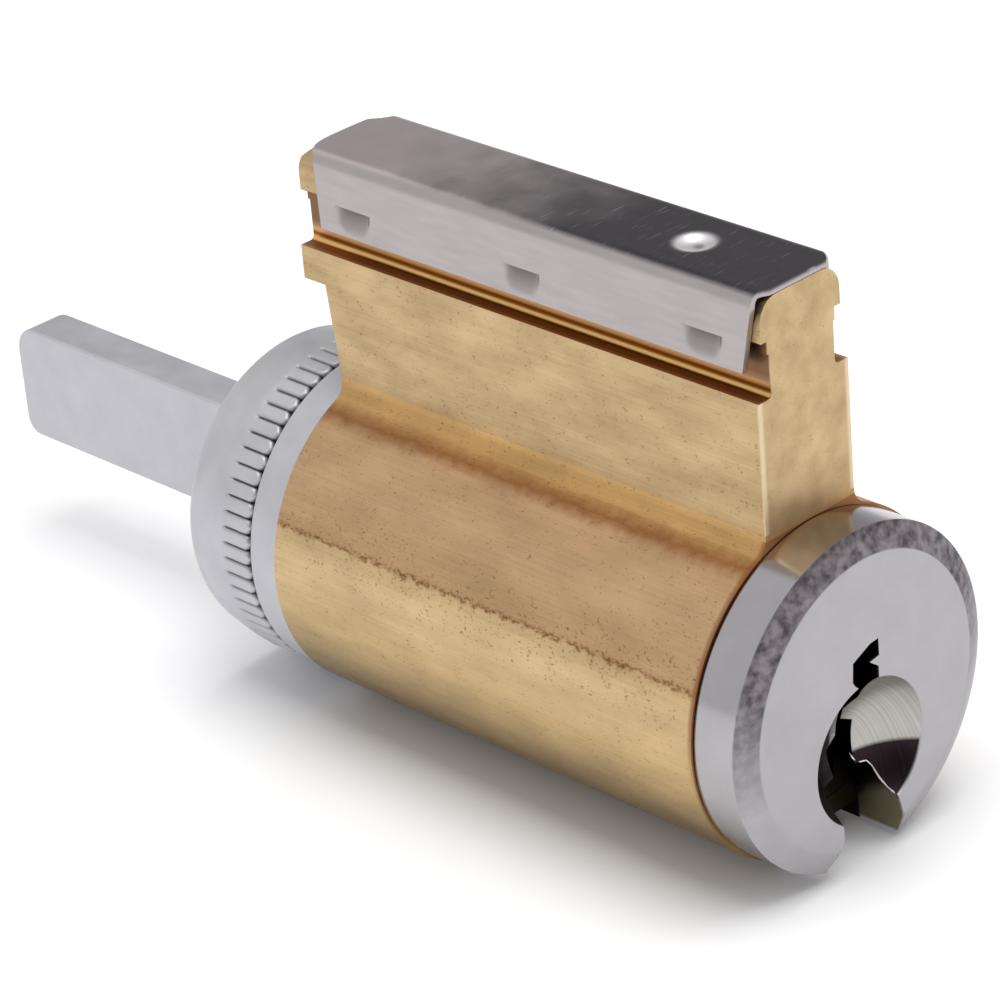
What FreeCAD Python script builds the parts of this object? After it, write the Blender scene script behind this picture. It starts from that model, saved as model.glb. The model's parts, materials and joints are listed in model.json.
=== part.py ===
"""Six-pin lock cylinder with a flat tailpiece: a brass shell with a pin block,
a plated plug, six pin stacks, a crimped chamber cover and a screwed rear cap.

The plug turns about the Y axis. Y = 0 is the shell's front face, the key goes in
from -Y, the pin block stands up along +Z. All sizes are millimetres.
"""
import FreeCAD, Part
import os
import Sketcher

from FreeCAD import Placement, Rotation, Vector

doc = FreeCAD.newDocument("lockCylinder")

# ---------------------------------------------------------------- driving sizes
sizes = {
    # shell: a round barrel with a T-railed pin block on top
    "barrelDiameter": 17.6,
    "rearMargin": 5.0,
    "blockWidth": 6.06,
    "blockHeight": 20.6,
    "blockOverhang": 2.1,
    "railWidth": 5.36,
    "railHeight": 2.1,
    "railCorner": 0.7,
    "railLip": 0.53,
    "railRearBevel": 0.45,
    "underLipHeight": 0.65,
    "underLipStep": 0.12,
    "neckHeight": 2.84,
    "neckFillet": 0.25,
    "turnedRadius": 14.2,
    "turnedSlope": 0.6,
    "rootFillet": 1.1,
    "drainWidth": 4.6,
    "drainHeight": 1.35,
    "drainLength": 1.6,
    # plug: head, round body, threaded rear spigot
    "plugDiameter": 12.7,
    "plugPlay": 0.04,
    "headInset": 0.15,
    "headLength": 2.95,
    "headChamfer": 0.54,
    "headBevel": 1.27,
    "headGap": 0.05,
    "spigotStep": 0.55,
    "spigotLength": 5.14,
    "keywayWidth": 1.9,
    "keywayTop": 2.95,
    "keywayLean": 0.6,
    "keywayFloor": 0.85,
    "keywayFoot": 0.3,
    "wardGap": 0.15,
    "wardFlank": 0.4,
    "upperWardDrop": 0.75,
    "upperWardHeight": 0.7,
    "leftWardDrop": 1.9,
    "leftWardHeight": 4.0,
    "lowerWardDrop": 3.6,
    "lowerWardHeight": 1.4,
    "keywayMargin": 1.75,
    "scoopRadius": 3.72,
    "scoopDepth": 2.0,
    "scoopDrop": 2.73,
    "notchWidth": 4.4,
    "notchTop": 4.7,
    # pin stacks
    "pinCount": 6,
    "pinPitch": 3.96,
    "firstPinFromFace": 6.35,
    "pinDiameter": 2.92,
    "pinPlay": 0.04,
    "pinBevel": 0.25,
    "pinTipFlat": 0.9,
    "shearGap": 0.05,
    "driverLength": 4.6,
    "keyPinShortest": 4.2,
    "keyPinStep": 0.381,
    "chamberFloor": 2.3,
    "springWire": 0.28,
    "springPlay": 0.21,
    "springTurns": 11,
    "seatGap": 0.02,
    # chamber cover: thin sheet folded over the rail
    "sheet": 0.32,
    "coverPlay": 0.03,
    "coverDrop": 4.0,
    "coverOverhang": 1.4,
    "coverSetback": 0.9,
    "coverRearSetback": 0.7,
    "dimpleRadius": 1.15,
    "dimpleDepth": 0.4,
    "dimpleFirst": 3.3,
    "dimpleRearMargin": 3.4,
    "dimpleCount": 3,
    "stakeRadius": 1.22,
    "stakeDepth": 0.2,
    "stakeFromFront": 6.25,
    # rear: washer, knurled cap, detent pin and tailpiece
    "washerInset": 0.2,
    "washerThickness": 1.95,
    "washerGap": 0.04,
    "capInset": 0.14,
    "capLeadBevel": 0.1,
    "capLeadLength": 0.4,
    "capLength": 5.4,
    "capTaper": 0.33,
    "capEdgeBevel": 1.01,
    "capEdgeLength": 1.0,
    "capWall": 1.2,
    "threadPlay": 0.04,
    "toothCount": 64,
    "toothDepth": 0.42,
    "toothHalfWidth": 0.34,
    "toothOverrun": 0.17,
    "toothLength": 1.9,
    "detentWall": 0.65,
    "detentCount": 8,
    "detentHole": 1.5,
    "detentPlay": 0.05,
    "detentPinLength": 3.8,
    "detentBoreDepth": 6.0,
    "detentReach": 0.6,
    "detentWire": 0.2,
    "detentTurns": 9,
    "tailThickness": 2.6,
    "tailHeight": 6.5,
    "tailStandout": 21.57,
    "tailCorner": 1.2,
    "tailHeadInset": 0.9,
    "tailSlotDepth": 1.0,
    "tailPlay": 0.05,
}
bitting = [3, 6, 2, 5, 7, 4]

sheetObject = doc.addObject("Spreadsheet::Sheet", "Sizes")
for row, (alias, value) in enumerate(sizes.items(), start=1):
    sheetObject.set(f"A{row}", alias)
    sheetObject.set(f"B{row}", str(value))
    sheetObject.setAlias(f"B{row}", alias)
doc.recompute()

# Lengths that follow from the driving sizes, written once as expressions.
derived = {
    "barrelRadius": "barrelDiameter / 2",
    "headRadius": "barrelRadius - headInset",
    "washerRadius": "barrelRadius - washerInset",
    "capRadius": "barrelRadius - capInset",
    "boreRadius": "plugDiameter / 2 + plugPlay",
    "plugRadius": "plugDiameter / 2",
    "pinRadius": "pinDiameter / 2",
    "chamberRadius": "pinDiameter / 2 + pinPlay",
    "firstPin": "firstPinFromFace - headLength",
    "rowLength": "pinPitch * ( pinCount - 1 )",
    "barrelLength": "firstPin + rowLength + rearMargin",
    "blockLength": "barrelLength + blockOverhang",
    "railUnderside": "blockHeight - railHeight",
    "ledgeHeight": "railUnderside - neckHeight",
    "neckHalf": "railWidth / 2 - railLip",
    "keywayHalf": "keywayWidth / 2",
    "driverBottom": "plugRadius + shearGap",
    "keyPinTop": "plugRadius - 3 * shearGap",
    "plugShoulder": "barrelLength + washerGap",
    "washerFront": "plugShoulder + washerGap",
    "capFront": "washerFront + washerThickness",
    "capRear": "capFront + capLength",
    "capInside": "capRear - capWall",
    "capBore": "spigotRadius + threadPlay",
    "spigotRadius": "plugRadius - spigotStep",
    "spigotEnd": "plugShoulder + spigotLength",
    "coverInner": "railWidth / 2 + coverPlay",
    "coverOuter": "coverInner + sheet",
    "coverUnder": "blockHeight + coverPlay",
    "bendInner": "railCorner + coverPlay",
    "bendOuter": "bendInner + sheet",
    "coverTop": "coverUnder + sheet",
    "coverSkirt": "coverTop - coverDrop",
    "coverLength": "barrelLength + coverOverhang",
    "dimplePitch": "( coverLength - dimpleFirst - dimpleRearMargin ) / ( dimpleCount - 1 )",
    "dimpleTop": "railUnderside - coverPlay",
    "scoopSphere": "( scoopRadius ^ 2 + scoopDepth ^ 2 ) / ( 2 * scoopDepth )",
    "dimpleSphere": "( dimpleRadius ^ 2 + dimpleDepth ^ 2 ) / ( 2 * dimpleDepth )",
    "stakeSphere": "( stakeRadius ^ 2 + stakeDepth ^ 2 ) / ( 2 * stakeDepth )",
    "detentRadius": "spigotRadius - detentWall - detentHole / 2",
    "detentBore": "detentHole / 2 - detentPlay",
    "detentPinRadius": "detentBore - detentPlay",
    "detentPinFront": "capInside + detentReach - detentPinLength",
    "slotHalf": "tailThickness / 2 + tailPlay",
}


def named(text):
    """Write an expression out in the sheet's own cells. Words are parted by spaces."""
    words = []
    for word in text.split():
        if word in derived:
            words.append("( " + named(derived[word]) + " )")
        elif word in sizes:
            words.append("Sizes." + word)
        else:
            words.append(word)
    return " ".join(words)


def worth(text):
    """The number that an expression stands for."""
    value = sheetObject.evalExpression(named(text))
    return float(getattr(value, "Value", value))


# ---------------------------------------------------------------- small builders
def newBody(label):
    body = doc.addObject("PartDesign::Body", label)
    body.Label = label
    return body


def newSketch(body, role, offset="0"):
    sketch = body.newObject("Sketcher::SketchObject", body.Name + "Sketch")
    plane = next(item for item in body.Origin.OriginFeatures if item.Role == role)
    sketch.AttachmentSupport = [(plane, "")]
    sketch.MapMode = "FlatFace"
    sketch.setExpression("AttachmentOffset.Base.z", named(offset))
    return sketch


def pin(sketch, geometry, point, across, up):
    """Tie one point of a sketch to the sketch origin with two bound distances."""
    for kind, text in (("DistanceX", across), ("DistanceY", up)):
        index = sketch.addConstraint(
            Sketcher.Constraint(kind, -1, 1, geometry, point, worth(text)))
        sketch.setExpression(f"Constraints[{index}]", named(text))


def polygon(body, role, corners, offset="0"):
    """A closed outline whose corners are pairs of expressions."""
    sketch = newSketch(body, role, offset)
    places = [Vector(worth(x), worth(y), 0) for x, y in corners]
    first = sketch.GeometryCount
    for start, end in zip(places, places[1:] + places[:1]):
        sketch.addGeometry(Part.LineSegment(start, end))
    for index in range(len(corners)):
        following = (index + 1) % len(corners)
        sketch.addConstraint(
            Sketcher.Constraint("Coincident", first + index, 2, first + following, 1))
        pin(sketch, first + index, 1, *corners[index])
    return sketch


def circle(body, role, across, up, radius, offset="0"):
    sketch = newSketch(body, role, offset)
    centre = Vector(worth(across), worth(up), 0)
    sketch.addGeometry(Part.Circle(centre, Vector(0, 0, 1), worth(radius)))
    pin(sketch, 0, 3, across, up)
    index = sketch.addConstraint(Sketcher.Constraint("Radius", 0, worth(radius)))
    sketch.setExpression(f"Constraints[{index}]", named(radius))
    return sketch


def sweepStraight(kind, body, sketch, length, reverse, bothWays=False):
    feature = body.newObject("PartDesign::" + kind, body.Name + kind)
    feature.Profile = sketch
    feature.Reversed = reverse
    feature.setExpression("Length", named(length))
    if bothWays:
        feature.SideType = "Symmetric"
    return feature


def checkedCut(body, feature):
    """Recompute, and stop if a cut took nothing away."""
    before = body.Shape.Volume
    doc.recompute()
    if not body.Shape.Volume < before - 1e-6:
        raise RuntimeError(f"{feature.Label} cuts nothing from {body.Label}")
    return feature


def pad(body, sketch, length, reverse=False, bothWays=False):
    feature = sweepStraight("Pad", body, sketch, length, reverse, bothWays)
    doc.recompute()
    return feature


def pocket(body, sketch, length, reverse=False, bothWays=False):
    feature = sweepStraight("Pocket", body, sketch, length, reverse, bothWays)
    return checkedCut(body, feature)


def revolve(body, sketch):
    feature = body.newObject("PartDesign::Revolution", body.Name + "Revolution")
    feature.Profile = sketch
    feature.ReferenceAxis = (sketch, ["V_Axis"])
    feature.Angle = 360
    doc.recompute()
    return feature


def groove(body, sketch):
    feature = body.newObject("PartDesign::Groove", body.Name + "Groove")
    feature.Profile = sketch
    feature.ReferenceAxis = (sketch, ["V_Axis"])
    feature.Angle = 360
    return checkedCut(body, feature)


def repeatAlong(body, feature, sketch, length, count):
    pattern = body.newObject("PartDesign::LinearPattern", body.Name + "Row")
    pattern.Originals = [feature]
    pattern.Direction = (sketch, ["V_Axis"])
    pattern.setExpression("Length", named(length))
    pattern.setExpression("Occurrences", named(count))
    body.Tip = pattern
    return checkedCut(body, pattern)


def repeatAround(body, feature, sketch, count):
    pattern = body.newObject("PartDesign::PolarPattern", body.Name + "Ring")
    pattern.Originals = [feature]
    pattern.Axis = (sketch, ["N_Axis"])
    pattern.Angle = 360
    pattern.setExpression("Occurrences", named(count))
    body.Tip = pattern
    return checkedCut(body, pattern)


def roundEdges(body, radius, wanted):
    """Fillet the edges of the body's tip whose centre passes the test."""
    base = body.Tip
    names = [f"Edge{number}" for number, edge in enumerate(base.Shape.Edges, start=1)
             if wanted(edge, edge.CenterOfMass)]
    fillet = body.newObject("PartDesign::Fillet", body.Name + "Fillet")
    fillet.Base = (base, names)
    fillet.setExpression("Radius", named(radius))
    body.Tip = fillet
    doc.recompute()
    return fillet


def place(item, x, y, z):
    """Bind an object's position to expressions."""
    for axis, text in (("x", x), ("y", y), ("z", z)):
        item.setExpression("Placement.Base." + axis, named(text))


# ---------------------------------------------------------------- shell
def buildShell():
    body = newBody("shell")
    barrel = circle(body, "XZ_Plane", "0", "0", "barrelRadius")
    pad(body, barrel, "barrelLength", reverse=True)

    rightSide = [
        ("blockWidth / 2", "0"),
        ("blockWidth / 2", "ledgeHeight"),
        ("neckHalf", "ledgeHeight"),
        ("neckHalf", "railUnderside - underLipHeight"),
        ("neckHalf + underLipStep", "railUnderside - underLipHeight"),
        ("neckHalf + underLipStep", "railUnderside"),
        ("railWidth / 2", "railUnderside"),
        ("railWidth / 2", "blockHeight"),
    ]
    leftSide = [(f"-1 * ( {x} )", z) for x, z in reversed(rightSide)]
    block = polygon(body, "XZ_Plane", rightSide + leftSide)
    pad(body, block, "blockLength", reverse=True)

    # The rear of the block is turned back so that the cap can spin beside it.
    turned = polygon(body, "XY_Plane", [
        ("0", "barrelLength"),
        ("barrelRadius", "barrelLength"),
        ("turnedRadius", "barrelLength + turnedSlope"),
        ("turnedRadius", "blockLength + 1"),
        ("0", "blockLength + 1"),
    ])
    groove(body, turned)

    # Fillets along the block: at its root on the barrel, at the neck's foot and on the rail.
    halfBlock = worth("blockWidth / 2")
    rootHeight = (worth("barrelRadius") ** 2 - halfBlock ** 2) ** 0.5
    for radius, across, height in (
            ("rootFillet", halfBlock, rootHeight),
            ("neckFillet", worth("neckHalf"), worth("ledgeHeight")),
            ("railCorner", worth("railWidth / 2"), worth("blockHeight"))):
        roundEdges(body, radius, lambda edge, middle: (
            abs(abs(middle.x) - across) < 1e-3
            and abs(middle.z - height) < 1e-3
            and edge.Length > worth("barrelLength / 2")))

    # The rail's top edge is bevelled at the rear.
    bevel = polygon(body, "YZ_Plane", [
        ("blockLength - railRearBevel", "blockHeight"),
        ("blockLength", "blockHeight - railRearBevel"),
        ("blockLength + 1", "blockHeight - railRearBevel"),
        ("blockLength + 1", "blockHeight + 1"),
        ("blockLength - railRearBevel", "blockHeight + 1"),
    ])
    pocket(body, bevel, "2 * railWidth", bothWays=True)

    bore = circle(body, "XZ_Plane", "0", "0", "boreRadius")
    pocket(body, bore, "2 * blockLength + 2", bothWays=True)

    chamber = circle(body, "XY_Plane", "0", "firstPin", "chamberRadius")
    drilled = pocket(body, chamber, "blockHeight + 1", reverse=True)
    repeatAlong(body, drilled, chamber, "rowLength", "pinCount")

    # Open drain notch in the bottom of the front edge, in line with the plug's own.
    drain = polygon(body, "XZ_Plane", [
        ("-1 * drainWidth / 2", "-1 * barrelRadius - 1"),
        ("drainWidth / 2", "-1 * barrelRadius - 1"),
        ("drainWidth / 2", "drainHeight - barrelRadius"),
        ("-1 * drainWidth / 2", "drainHeight - barrelRadius"),
    ])
    pocket(body, drain, "drainLength")
    return body


# ---------------------------------------------------------------- plug
def buildPlug():
    body = newBody("plug")
    outline = polygon(body, "XY_Plane", [
        ("0", "-1 * headLength"),
        ("headRadius - headBevel", "-1 * headLength"),
        ("headRadius", "headChamfer - headLength"),
        ("headRadius", "-1 * headGap"),
        ("plugRadius", "-1 * headGap"),
        ("plugRadius", "plugShoulder"),
        ("spigotRadius", "plugShoulder"),
        ("spigotRadius", "spigotEnd"),
        ("0", "spigotEnd"),
    ])
    revolve(body, outline)

    # Warded keyway, open at the face and blind at the rear.
    keyway = polygon(body, "XZ_Plane", [
        ("keywayHalf", "keywayTop"),
        ("keywayHalf", "keywayTop - upperWardDrop"),
        ("wardGap", "keywayTop - upperWardDrop - upperWardHeight / 2"),
        ("keywayHalf", "keywayTop - upperWardDrop - upperWardHeight"),
        ("keywayHalf", "keywayTop - lowerWardDrop"),
        ("wardGap", "keywayTop - lowerWardDrop - wardFlank"),
        ("wardGap", "keywayTop - lowerWardDrop - lowerWardHeight + wardFlank"),
        ("keywayHalf", "keywayTop - lowerWardDrop - lowerWardHeight"),
        ("keywayHalf - keywayFoot", "keywayFloor - plugRadius"),
        ("keywayFoot - keywayHalf", "keywayFloor - plugRadius"),
        ("-1 * keywayHalf", "keywayTop - leftWardDrop - leftWardHeight"),
        ("-1 * wardGap", "keywayTop - leftWardDrop - leftWardHeight + wardFlank"),
        ("-1 * wardGap", "keywayTop - leftWardDrop - wardFlank"),
        ("-1 * keywayHalf", "keywayTop - leftWardDrop"),
        ("-1 * keywayHalf", "keywayTop - keywayLean"),
    ], offset="headLength")
    pocket(body, keyway, "headLength + barrelLength - keywayMargin")

    # Dished key scoop in the face, round the lower half of the keyway.
    scoop = body.newObject("PartDesign::SubtractiveSphere", "plugScoop")
    scoop.setExpression("Radius", named("scoopSphere"))
    place(scoop, "0", "scoopDepth - headLength - scoopSphere", "-1 * scoopDrop")
    body.Tip = scoop
    checkedCut(body, scoop)

    notch = polygon(body, "XZ_Plane", [
        ("-1 * notchWidth / 2", "-1 * headRadius - 1"),
        ("notchWidth / 2", "-1 * headRadius - 1"),
        ("notchWidth / 2", "-1 * notchTop"),
        ("-1 * notchWidth / 2", "-1 * notchTop"),
    ])
    pocket(body, notch, "headLength + 1", reverse=True)

    chamber = circle(body, "XY_Plane", "0", "firstPin", "chamberRadius",
                     offset="-1 * chamberFloor")
    drilled = pocket(body, chamber, "plugDiameter", reverse=True)
    repeatAlong(body, drilled, chamber, "rowLength", "pinCount")

    # Slot for the tailpiece's head and the detent pin's bore, both from the rear.
    slotRear = "-1 * spigotEnd"
    slot = polygon(body, "XZ_Plane", [
        ("-1 * slotHalf", "-1 * spigotRadius - 1"),
        ("slotHalf", "-1 * spigotRadius - 1"),
        ("slotHalf", "spigotRadius + 1"),
        ("-1 * slotHalf", "spigotRadius + 1"),
    ], offset=slotRear)
    pocket(body, slot, "tailSlotDepth + tailPlay", reverse=True)
    detentBore = circle(body, "XZ_Plane", "detentRadius", "0", "detentBore", offset=slotRear)
    pocket(body, detentBore, "detentBoreDepth", reverse=True)
    return body


# ---------------------------------------------------------------- pin stacks
def pinPlaceY(index):
    return f"firstPin + {index} * pinPitch"


def buildKeyPin(index):
    """Bottom pin: pointed at the key, bevelled at the shear line."""
    body = newBody(f"key_pin_{index + 1}")
    length = f"( keyPinShortest + {bitting[index % len(bitting)]} * keyPinStep )"
    outline = polygon(body, "XZ_Plane", [
        ("0", "0"),
        ("pinTipFlat / 2", "0"),
        ("pinRadius", "pinRadius - pinTipFlat / 2"),
        ("pinRadius", f"{length} - pinBevel"),
        ("pinRadius - pinBevel", length),
        ("0", length),
    ])
    revolve(body, outline)
    place(body, "0", pinPlaceY(index), f"keyPinTop - {length}")
    return body


def buildDriverPin(index):
    body = newBody(f"driver_pin_{index + 1}")
    outline = polygon(body, "XZ_Plane", [
        ("0", "0"),
        ("pinRadius - pinBevel", "0"),
        ("pinRadius", "pinBevel"),
        ("pinRadius", "driverLength - pinBevel"),
        ("pinRadius - pinBevel", "driverLength"),
        ("0", "driverLength"),
    ])
    revolve(body, outline)
    place(body, "0", pinPlaceY(index), "driverBottom")
    return body


def coil(label, radius, wire, turns, height):
    """A round-wire compression spring that stands on its own origin, along +Z."""
    meanRadius = f"{radius} - {wire} / 2"
    spine = doc.addObject("Part::Helix", label + "Spine")
    spine.setExpression("Radius", named(meanRadius))
    spine.setExpression("Pitch", named(f"( {height} - {wire} ) / {turns}"))
    spine.setExpression("Height", named(f"{height} - {wire}"))
    section = doc.addObject("Part::Circle", label + "Section")
    section.setExpression("Radius", named(f"{wire} / 2"))
    section.Placement = Placement(Vector(), Rotation(Vector(1, 0, 0), 90))
    section.setExpression("Placement.Base.x", named(meanRadius))
    spring = doc.addObject("Part::Sweep", label)
    spring.Sections = [section]
    spring.Spine = (spine, [])
    spring.Solid = True
    spring.Frenet = True
    spring.Label = label
    doc.recompute()
    return spring


def buildDriverSpring(index):
    room = "( coverUnder - driverBottom - driverLength - 2 * seatGap )"
    spring = coil(f"driver_spring_{index + 1}", "( pinRadius - springPlay )", "springWire",
                  "springTurns", room)
    bottom = "driverBottom + driverLength + seatGap + springWire / 2"
    place(spring, "0", pinPlaceY(index), bottom)
    return spring


# ---------------------------------------------------------------- chamber cover
def buildCover():
    folded = newBody("coverSheet")
    channel = polygon(folded, "XZ_Plane", [
        ("coverOuter", "coverSkirt"),
        ("coverOuter", "coverTop"),
        ("-1 * coverOuter", "coverTop"),
        ("-1 * coverOuter", "coverSkirt"),
        ("-1 * coverInner", "coverSkirt"),
        ("-1 * coverInner", "coverUnder"),
        ("coverInner", "coverUnder"),
        ("coverInner", "coverSkirt"),
    ])
    pad(folded, channel, "coverLength", reverse=True)
    top = worth("coverTop")
    under = worth("coverUnder")
    roundEdges(folded, "bendOuter", lambda edge, middle: (
        abs(middle.z - top) < 1e-3 and edge.Length > worth("coverLength") - 1e-3))
    roundEdges(folded, "bendInner", lambda edge, middle: (
        abs(middle.z - under) < 1e-3 and abs(abs(middle.x) - worth("coverInner")) < 1e-3
        and edge.Length > worth("coverLength") - 1e-3))

    # The skirts start behind the top plate's front edge and slope back downwards.
    setback = polygon(folded, "YZ_Plane", [
        ("-1", "coverSkirt - 1"),
        ("coverSetback", "coverSkirt - 1"),
        ("coverSetback", "coverSkirt"),
        ("coverSetback / 4", "coverTop - bendOuter"),
        ("-1", "coverTop - bendOuter"),
    ])
    pocket(folded, setback, "4 * coverOuter", bothWays=True)

    # At the rear they end a little short of the plate, more so towards their lower edges.
    rearSetback = polygon(folded, "YZ_Plane", [
        ("coverLength + 1", "coverSkirt - 1"),
        ("coverLength - coverRearSetback", "coverSkirt - 1"),
        ("coverLength - coverRearSetback", "coverSkirt"),
        ("coverLength", "coverTop - bendOuter"),
        ("coverLength + 1", "coverTop - bendOuter"),
    ])
    pocket(folded, rearSetback, "4 * coverOuter", bothWays=True)

    bulges = []
    recesses = []
    for side in (-1, 1):
        for index in range(int(sizes["dimpleCount"])):
            mark = f"{'left' if side < 0 else 'right'}{index + 1}"
            y = f"dimpleFirst + {index} * dimplePitch"
            x = f"{side} * ( coverOuter + dimpleSphere - dimpleDepth )"
            outer = doc.addObject("Part::Sphere", "dimpleBack" + mark)
            outer.Angle1, outer.Angle2 = -90, 0
            outer.setExpression("Radius", named("dimpleSphere + sheet"))
            place(outer, x, y, "dimpleTop")
            slab = doc.addObject("Part::Box", "dimpleSlab" + mark)
            slab.setExpression("Length", named("dimpleDepth + sheet / 2"))
            slab.setExpression("Width", named("4 * dimpleRadius"))
            slab.setExpression("Height", named("4 * dimpleRadius"))
            near = "coverInner - dimpleDepth" if side > 0 else "-1 * coverInner - sheet / 2"
            place(slab, near, y + " - 2 * dimpleRadius", "dimpleTop - 4 * dimpleRadius")
            bulge = doc.addObject("Part::MultiCommon", "dimpleBulge" + mark)
            bulge.Shapes = [outer, slab]
            bulges.append(bulge)
            recess = doc.addObject("Part::Sphere", "dimpleRecess" + mark)
            recess.Angle1, recess.Angle2 = -90, 0
            recess.setExpression("Radius", named("dimpleSphere"))
            place(recess, x, y, "dimpleTop")
            recesses.append(recess)

    # One punched mark in the top plate, near the front.
    stake = doc.addObject("Part::Sphere", "stakeRecess")
    stake.setExpression("Radius", named("stakeSphere"))
    place(stake, "0", "stakeFromFront", "coverTop + stakeSphere - stakeDepth")
    recesses.append(stake)

    pressed = doc.addObject("Part::MultiFuse", "coverPressed")
    pressed.Shapes = [folded] + bulges
    hollows = doc.addObject("Part::MultiFuse", "coverHollows")
    hollows.Shapes = recesses
    cover = doc.addObject("Part::Cut", "chamber_cover")
    cover.Base = pressed
    cover.Tool = hollows
    cover.Label = "chamber_cover"
    doc.recompute()
    return cover


# ---------------------------------------------------------------- rear pieces
def buildWasher():
    body = newBody("cap_washer")
    ring = polygon(body, "XY_Plane", [
        ("capBore", "washerFront"),
        ("washerRadius", "washerFront"),
        ("washerRadius", "capFront"),
        ("capBore", "capFront"),
    ])
    revolve(body, ring)
    return body


def buildCap():
    body = newBody("retaining_cap")
    outline = polygon(body, "XY_Plane", [
        ("capBore", "capFront"),
        ("capRadius - capLeadBevel", "capFront"),
        ("capRadius", "capFront + capLeadLength"),
        ("capRadius", "capFront + toothLength"),
        ("capRadius - capTaper", "capRear - capEdgeLength"),
        ("capRadius - capEdgeBevel", "capRear"),
        ("0", "capRear"),
        ("0", "capInside"),
        ("capBore", "capInside"),
    ])
    revolve(body, outline)

    # Knurl: a ring of short V grooves that run out towards the rear.
    tooth = polygon(body, "XZ_Plane", [
        ("0", "capRadius - toothDepth"),
        ("toothHalfWidth", "capRadius + toothOverrun"),
        ("-1 * toothHalfWidth", "capRadius + toothOverrun"),
    ], offset="-1 * capFront")
    cut = pocket(body, tooth, "toothLength")
    repeatAround(body, cut, tooth, "toothCount")

    opening = polygon(body, "XZ_Plane", [
        ("-1 * slotHalf", "-1 * tailHeight / 2 - tailPlay"),
        ("slotHalf", "-1 * tailHeight / 2 - tailPlay"),
        ("slotHalf", "tailHeight / 2 + tailPlay"),
        ("-1 * slotHalf", "tailHeight / 2 + tailPlay"),
    ], offset="-1 * capRear")
    pocket(body, opening, "capWall + 1", reverse=True)

    detent = circle(body, "XZ_Plane", "detentRadius", "0", "detentHole / 2",
                    offset="-1 * capRear")
    drilled = pocket(body, detent, "capWall + 1", reverse=True)
    repeatAround(body, drilled, detent, "detentCount")
    return body


def buildTailpiece():
    body = newBody("tailpiece")
    headFront = "spigotEnd - tailSlotDepth"
    headRear = "capInside - tailPlay"
    headTop = "spigotRadius - tailHeadInset"
    outline = polygon(body, "YZ_Plane", [
        (headFront, f"-1 * ( {headTop} )"),
        (headRear, f"-1 * ( {headTop} )"),
        (headRear, "-1 * tailHeight / 2"),
        ("capRear + tailStandout", "-1 * tailHeight / 2"),
        ("capRear + tailStandout", "tailHeight / 2"),
        (headRear, "tailHeight / 2"),
        (headRear, headTop),
        (headFront, headTop),
    ])
    pad(body, outline, "tailThickness", bothWays=True)
    reach = worth("capRear + tailStandout")
    roundEdges(body, "tailCorner", lambda edge, middle: (
        abs(middle.y - reach) < 1e-3 and abs(abs(middle.z) - worth("tailHeight / 2")) < 1e-3))
    return body


def buildCapPin():
    """Detent pin: it stands in one of the cap's holes and keeps the cap from unscrewing."""
    body = newBody("cap_pin")
    outline = polygon(body, "XY_Plane", [
        ("0", "0"),
        ("detentPinRadius", "0"),
        ("detentPinRadius", "detentPinLength - detentPinRadius / 2"),
        ("detentPinRadius / 2", "detentPinLength"),
        ("0", "detentPinLength"),
    ])
    revolve(body, outline)
    place(body, "detentRadius", "detentPinFront", "0")
    return body


def buildCapPinSpring():
    boreEnd = "( spigotEnd - detentBoreDepth )"
    spring = coil("cap_pin_spring", "( detentPinRadius - 2 * detentPlay )", "detentWire",
                  "detentTurns", f"( detentPinFront - {boreEnd} - 2 * seatGap )")
    spring.Placement = Placement(Vector(), Rotation(Vector(1, 0, 0), -90))
    place(spring, "detentRadius", f"{boreEnd} + seatGap + detentWire / 2", "0")
    doc.recompute()
    return spring


# ---------------------------------------------------------------- build, check, write
pinNumbers = range(int(sizes["pinCount"]))
nodes = [buildShell(), buildPlug(), buildCover(), buildWasher(), buildCap(),
         buildTailpiece(), buildCapPin(), buildCapPinSpring()]
nodes += [buildKeyPin(index) for index in pinNumbers]
nodes += [buildDriverPin(index) for index in pinNumbers]
nodes += [buildDriverSpring(index) for index in pinNumbers]
doc.recompute()

for item in doc.Objects:
    if "Invalid" in item.State or "Error" in item.State:
        raise RuntimeError(f"{item.Label} did not compute: {item.State}")
for node in nodes:
    if node.Shape.isNull() or not node.Shape.isValid():
        raise RuntimeError(f"{node.Label} has no valid shape")
    if len(node.Shape.Solids) != 1:
        raise RuntimeError(f"{node.Label} is {len(node.Shape.Solids)} solids, not one")

os.makedirs("parts", exist_ok=True)
for node in nodes:
    node.Shape.exportStep(f"parts/{node.Label}.step")
    print(f"{node.Label}: {node.Shape.Volume:.1f} mm3")
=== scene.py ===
import json
import math
import bpy
import bmesh
from mathutils import Matrix, Vector


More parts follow.
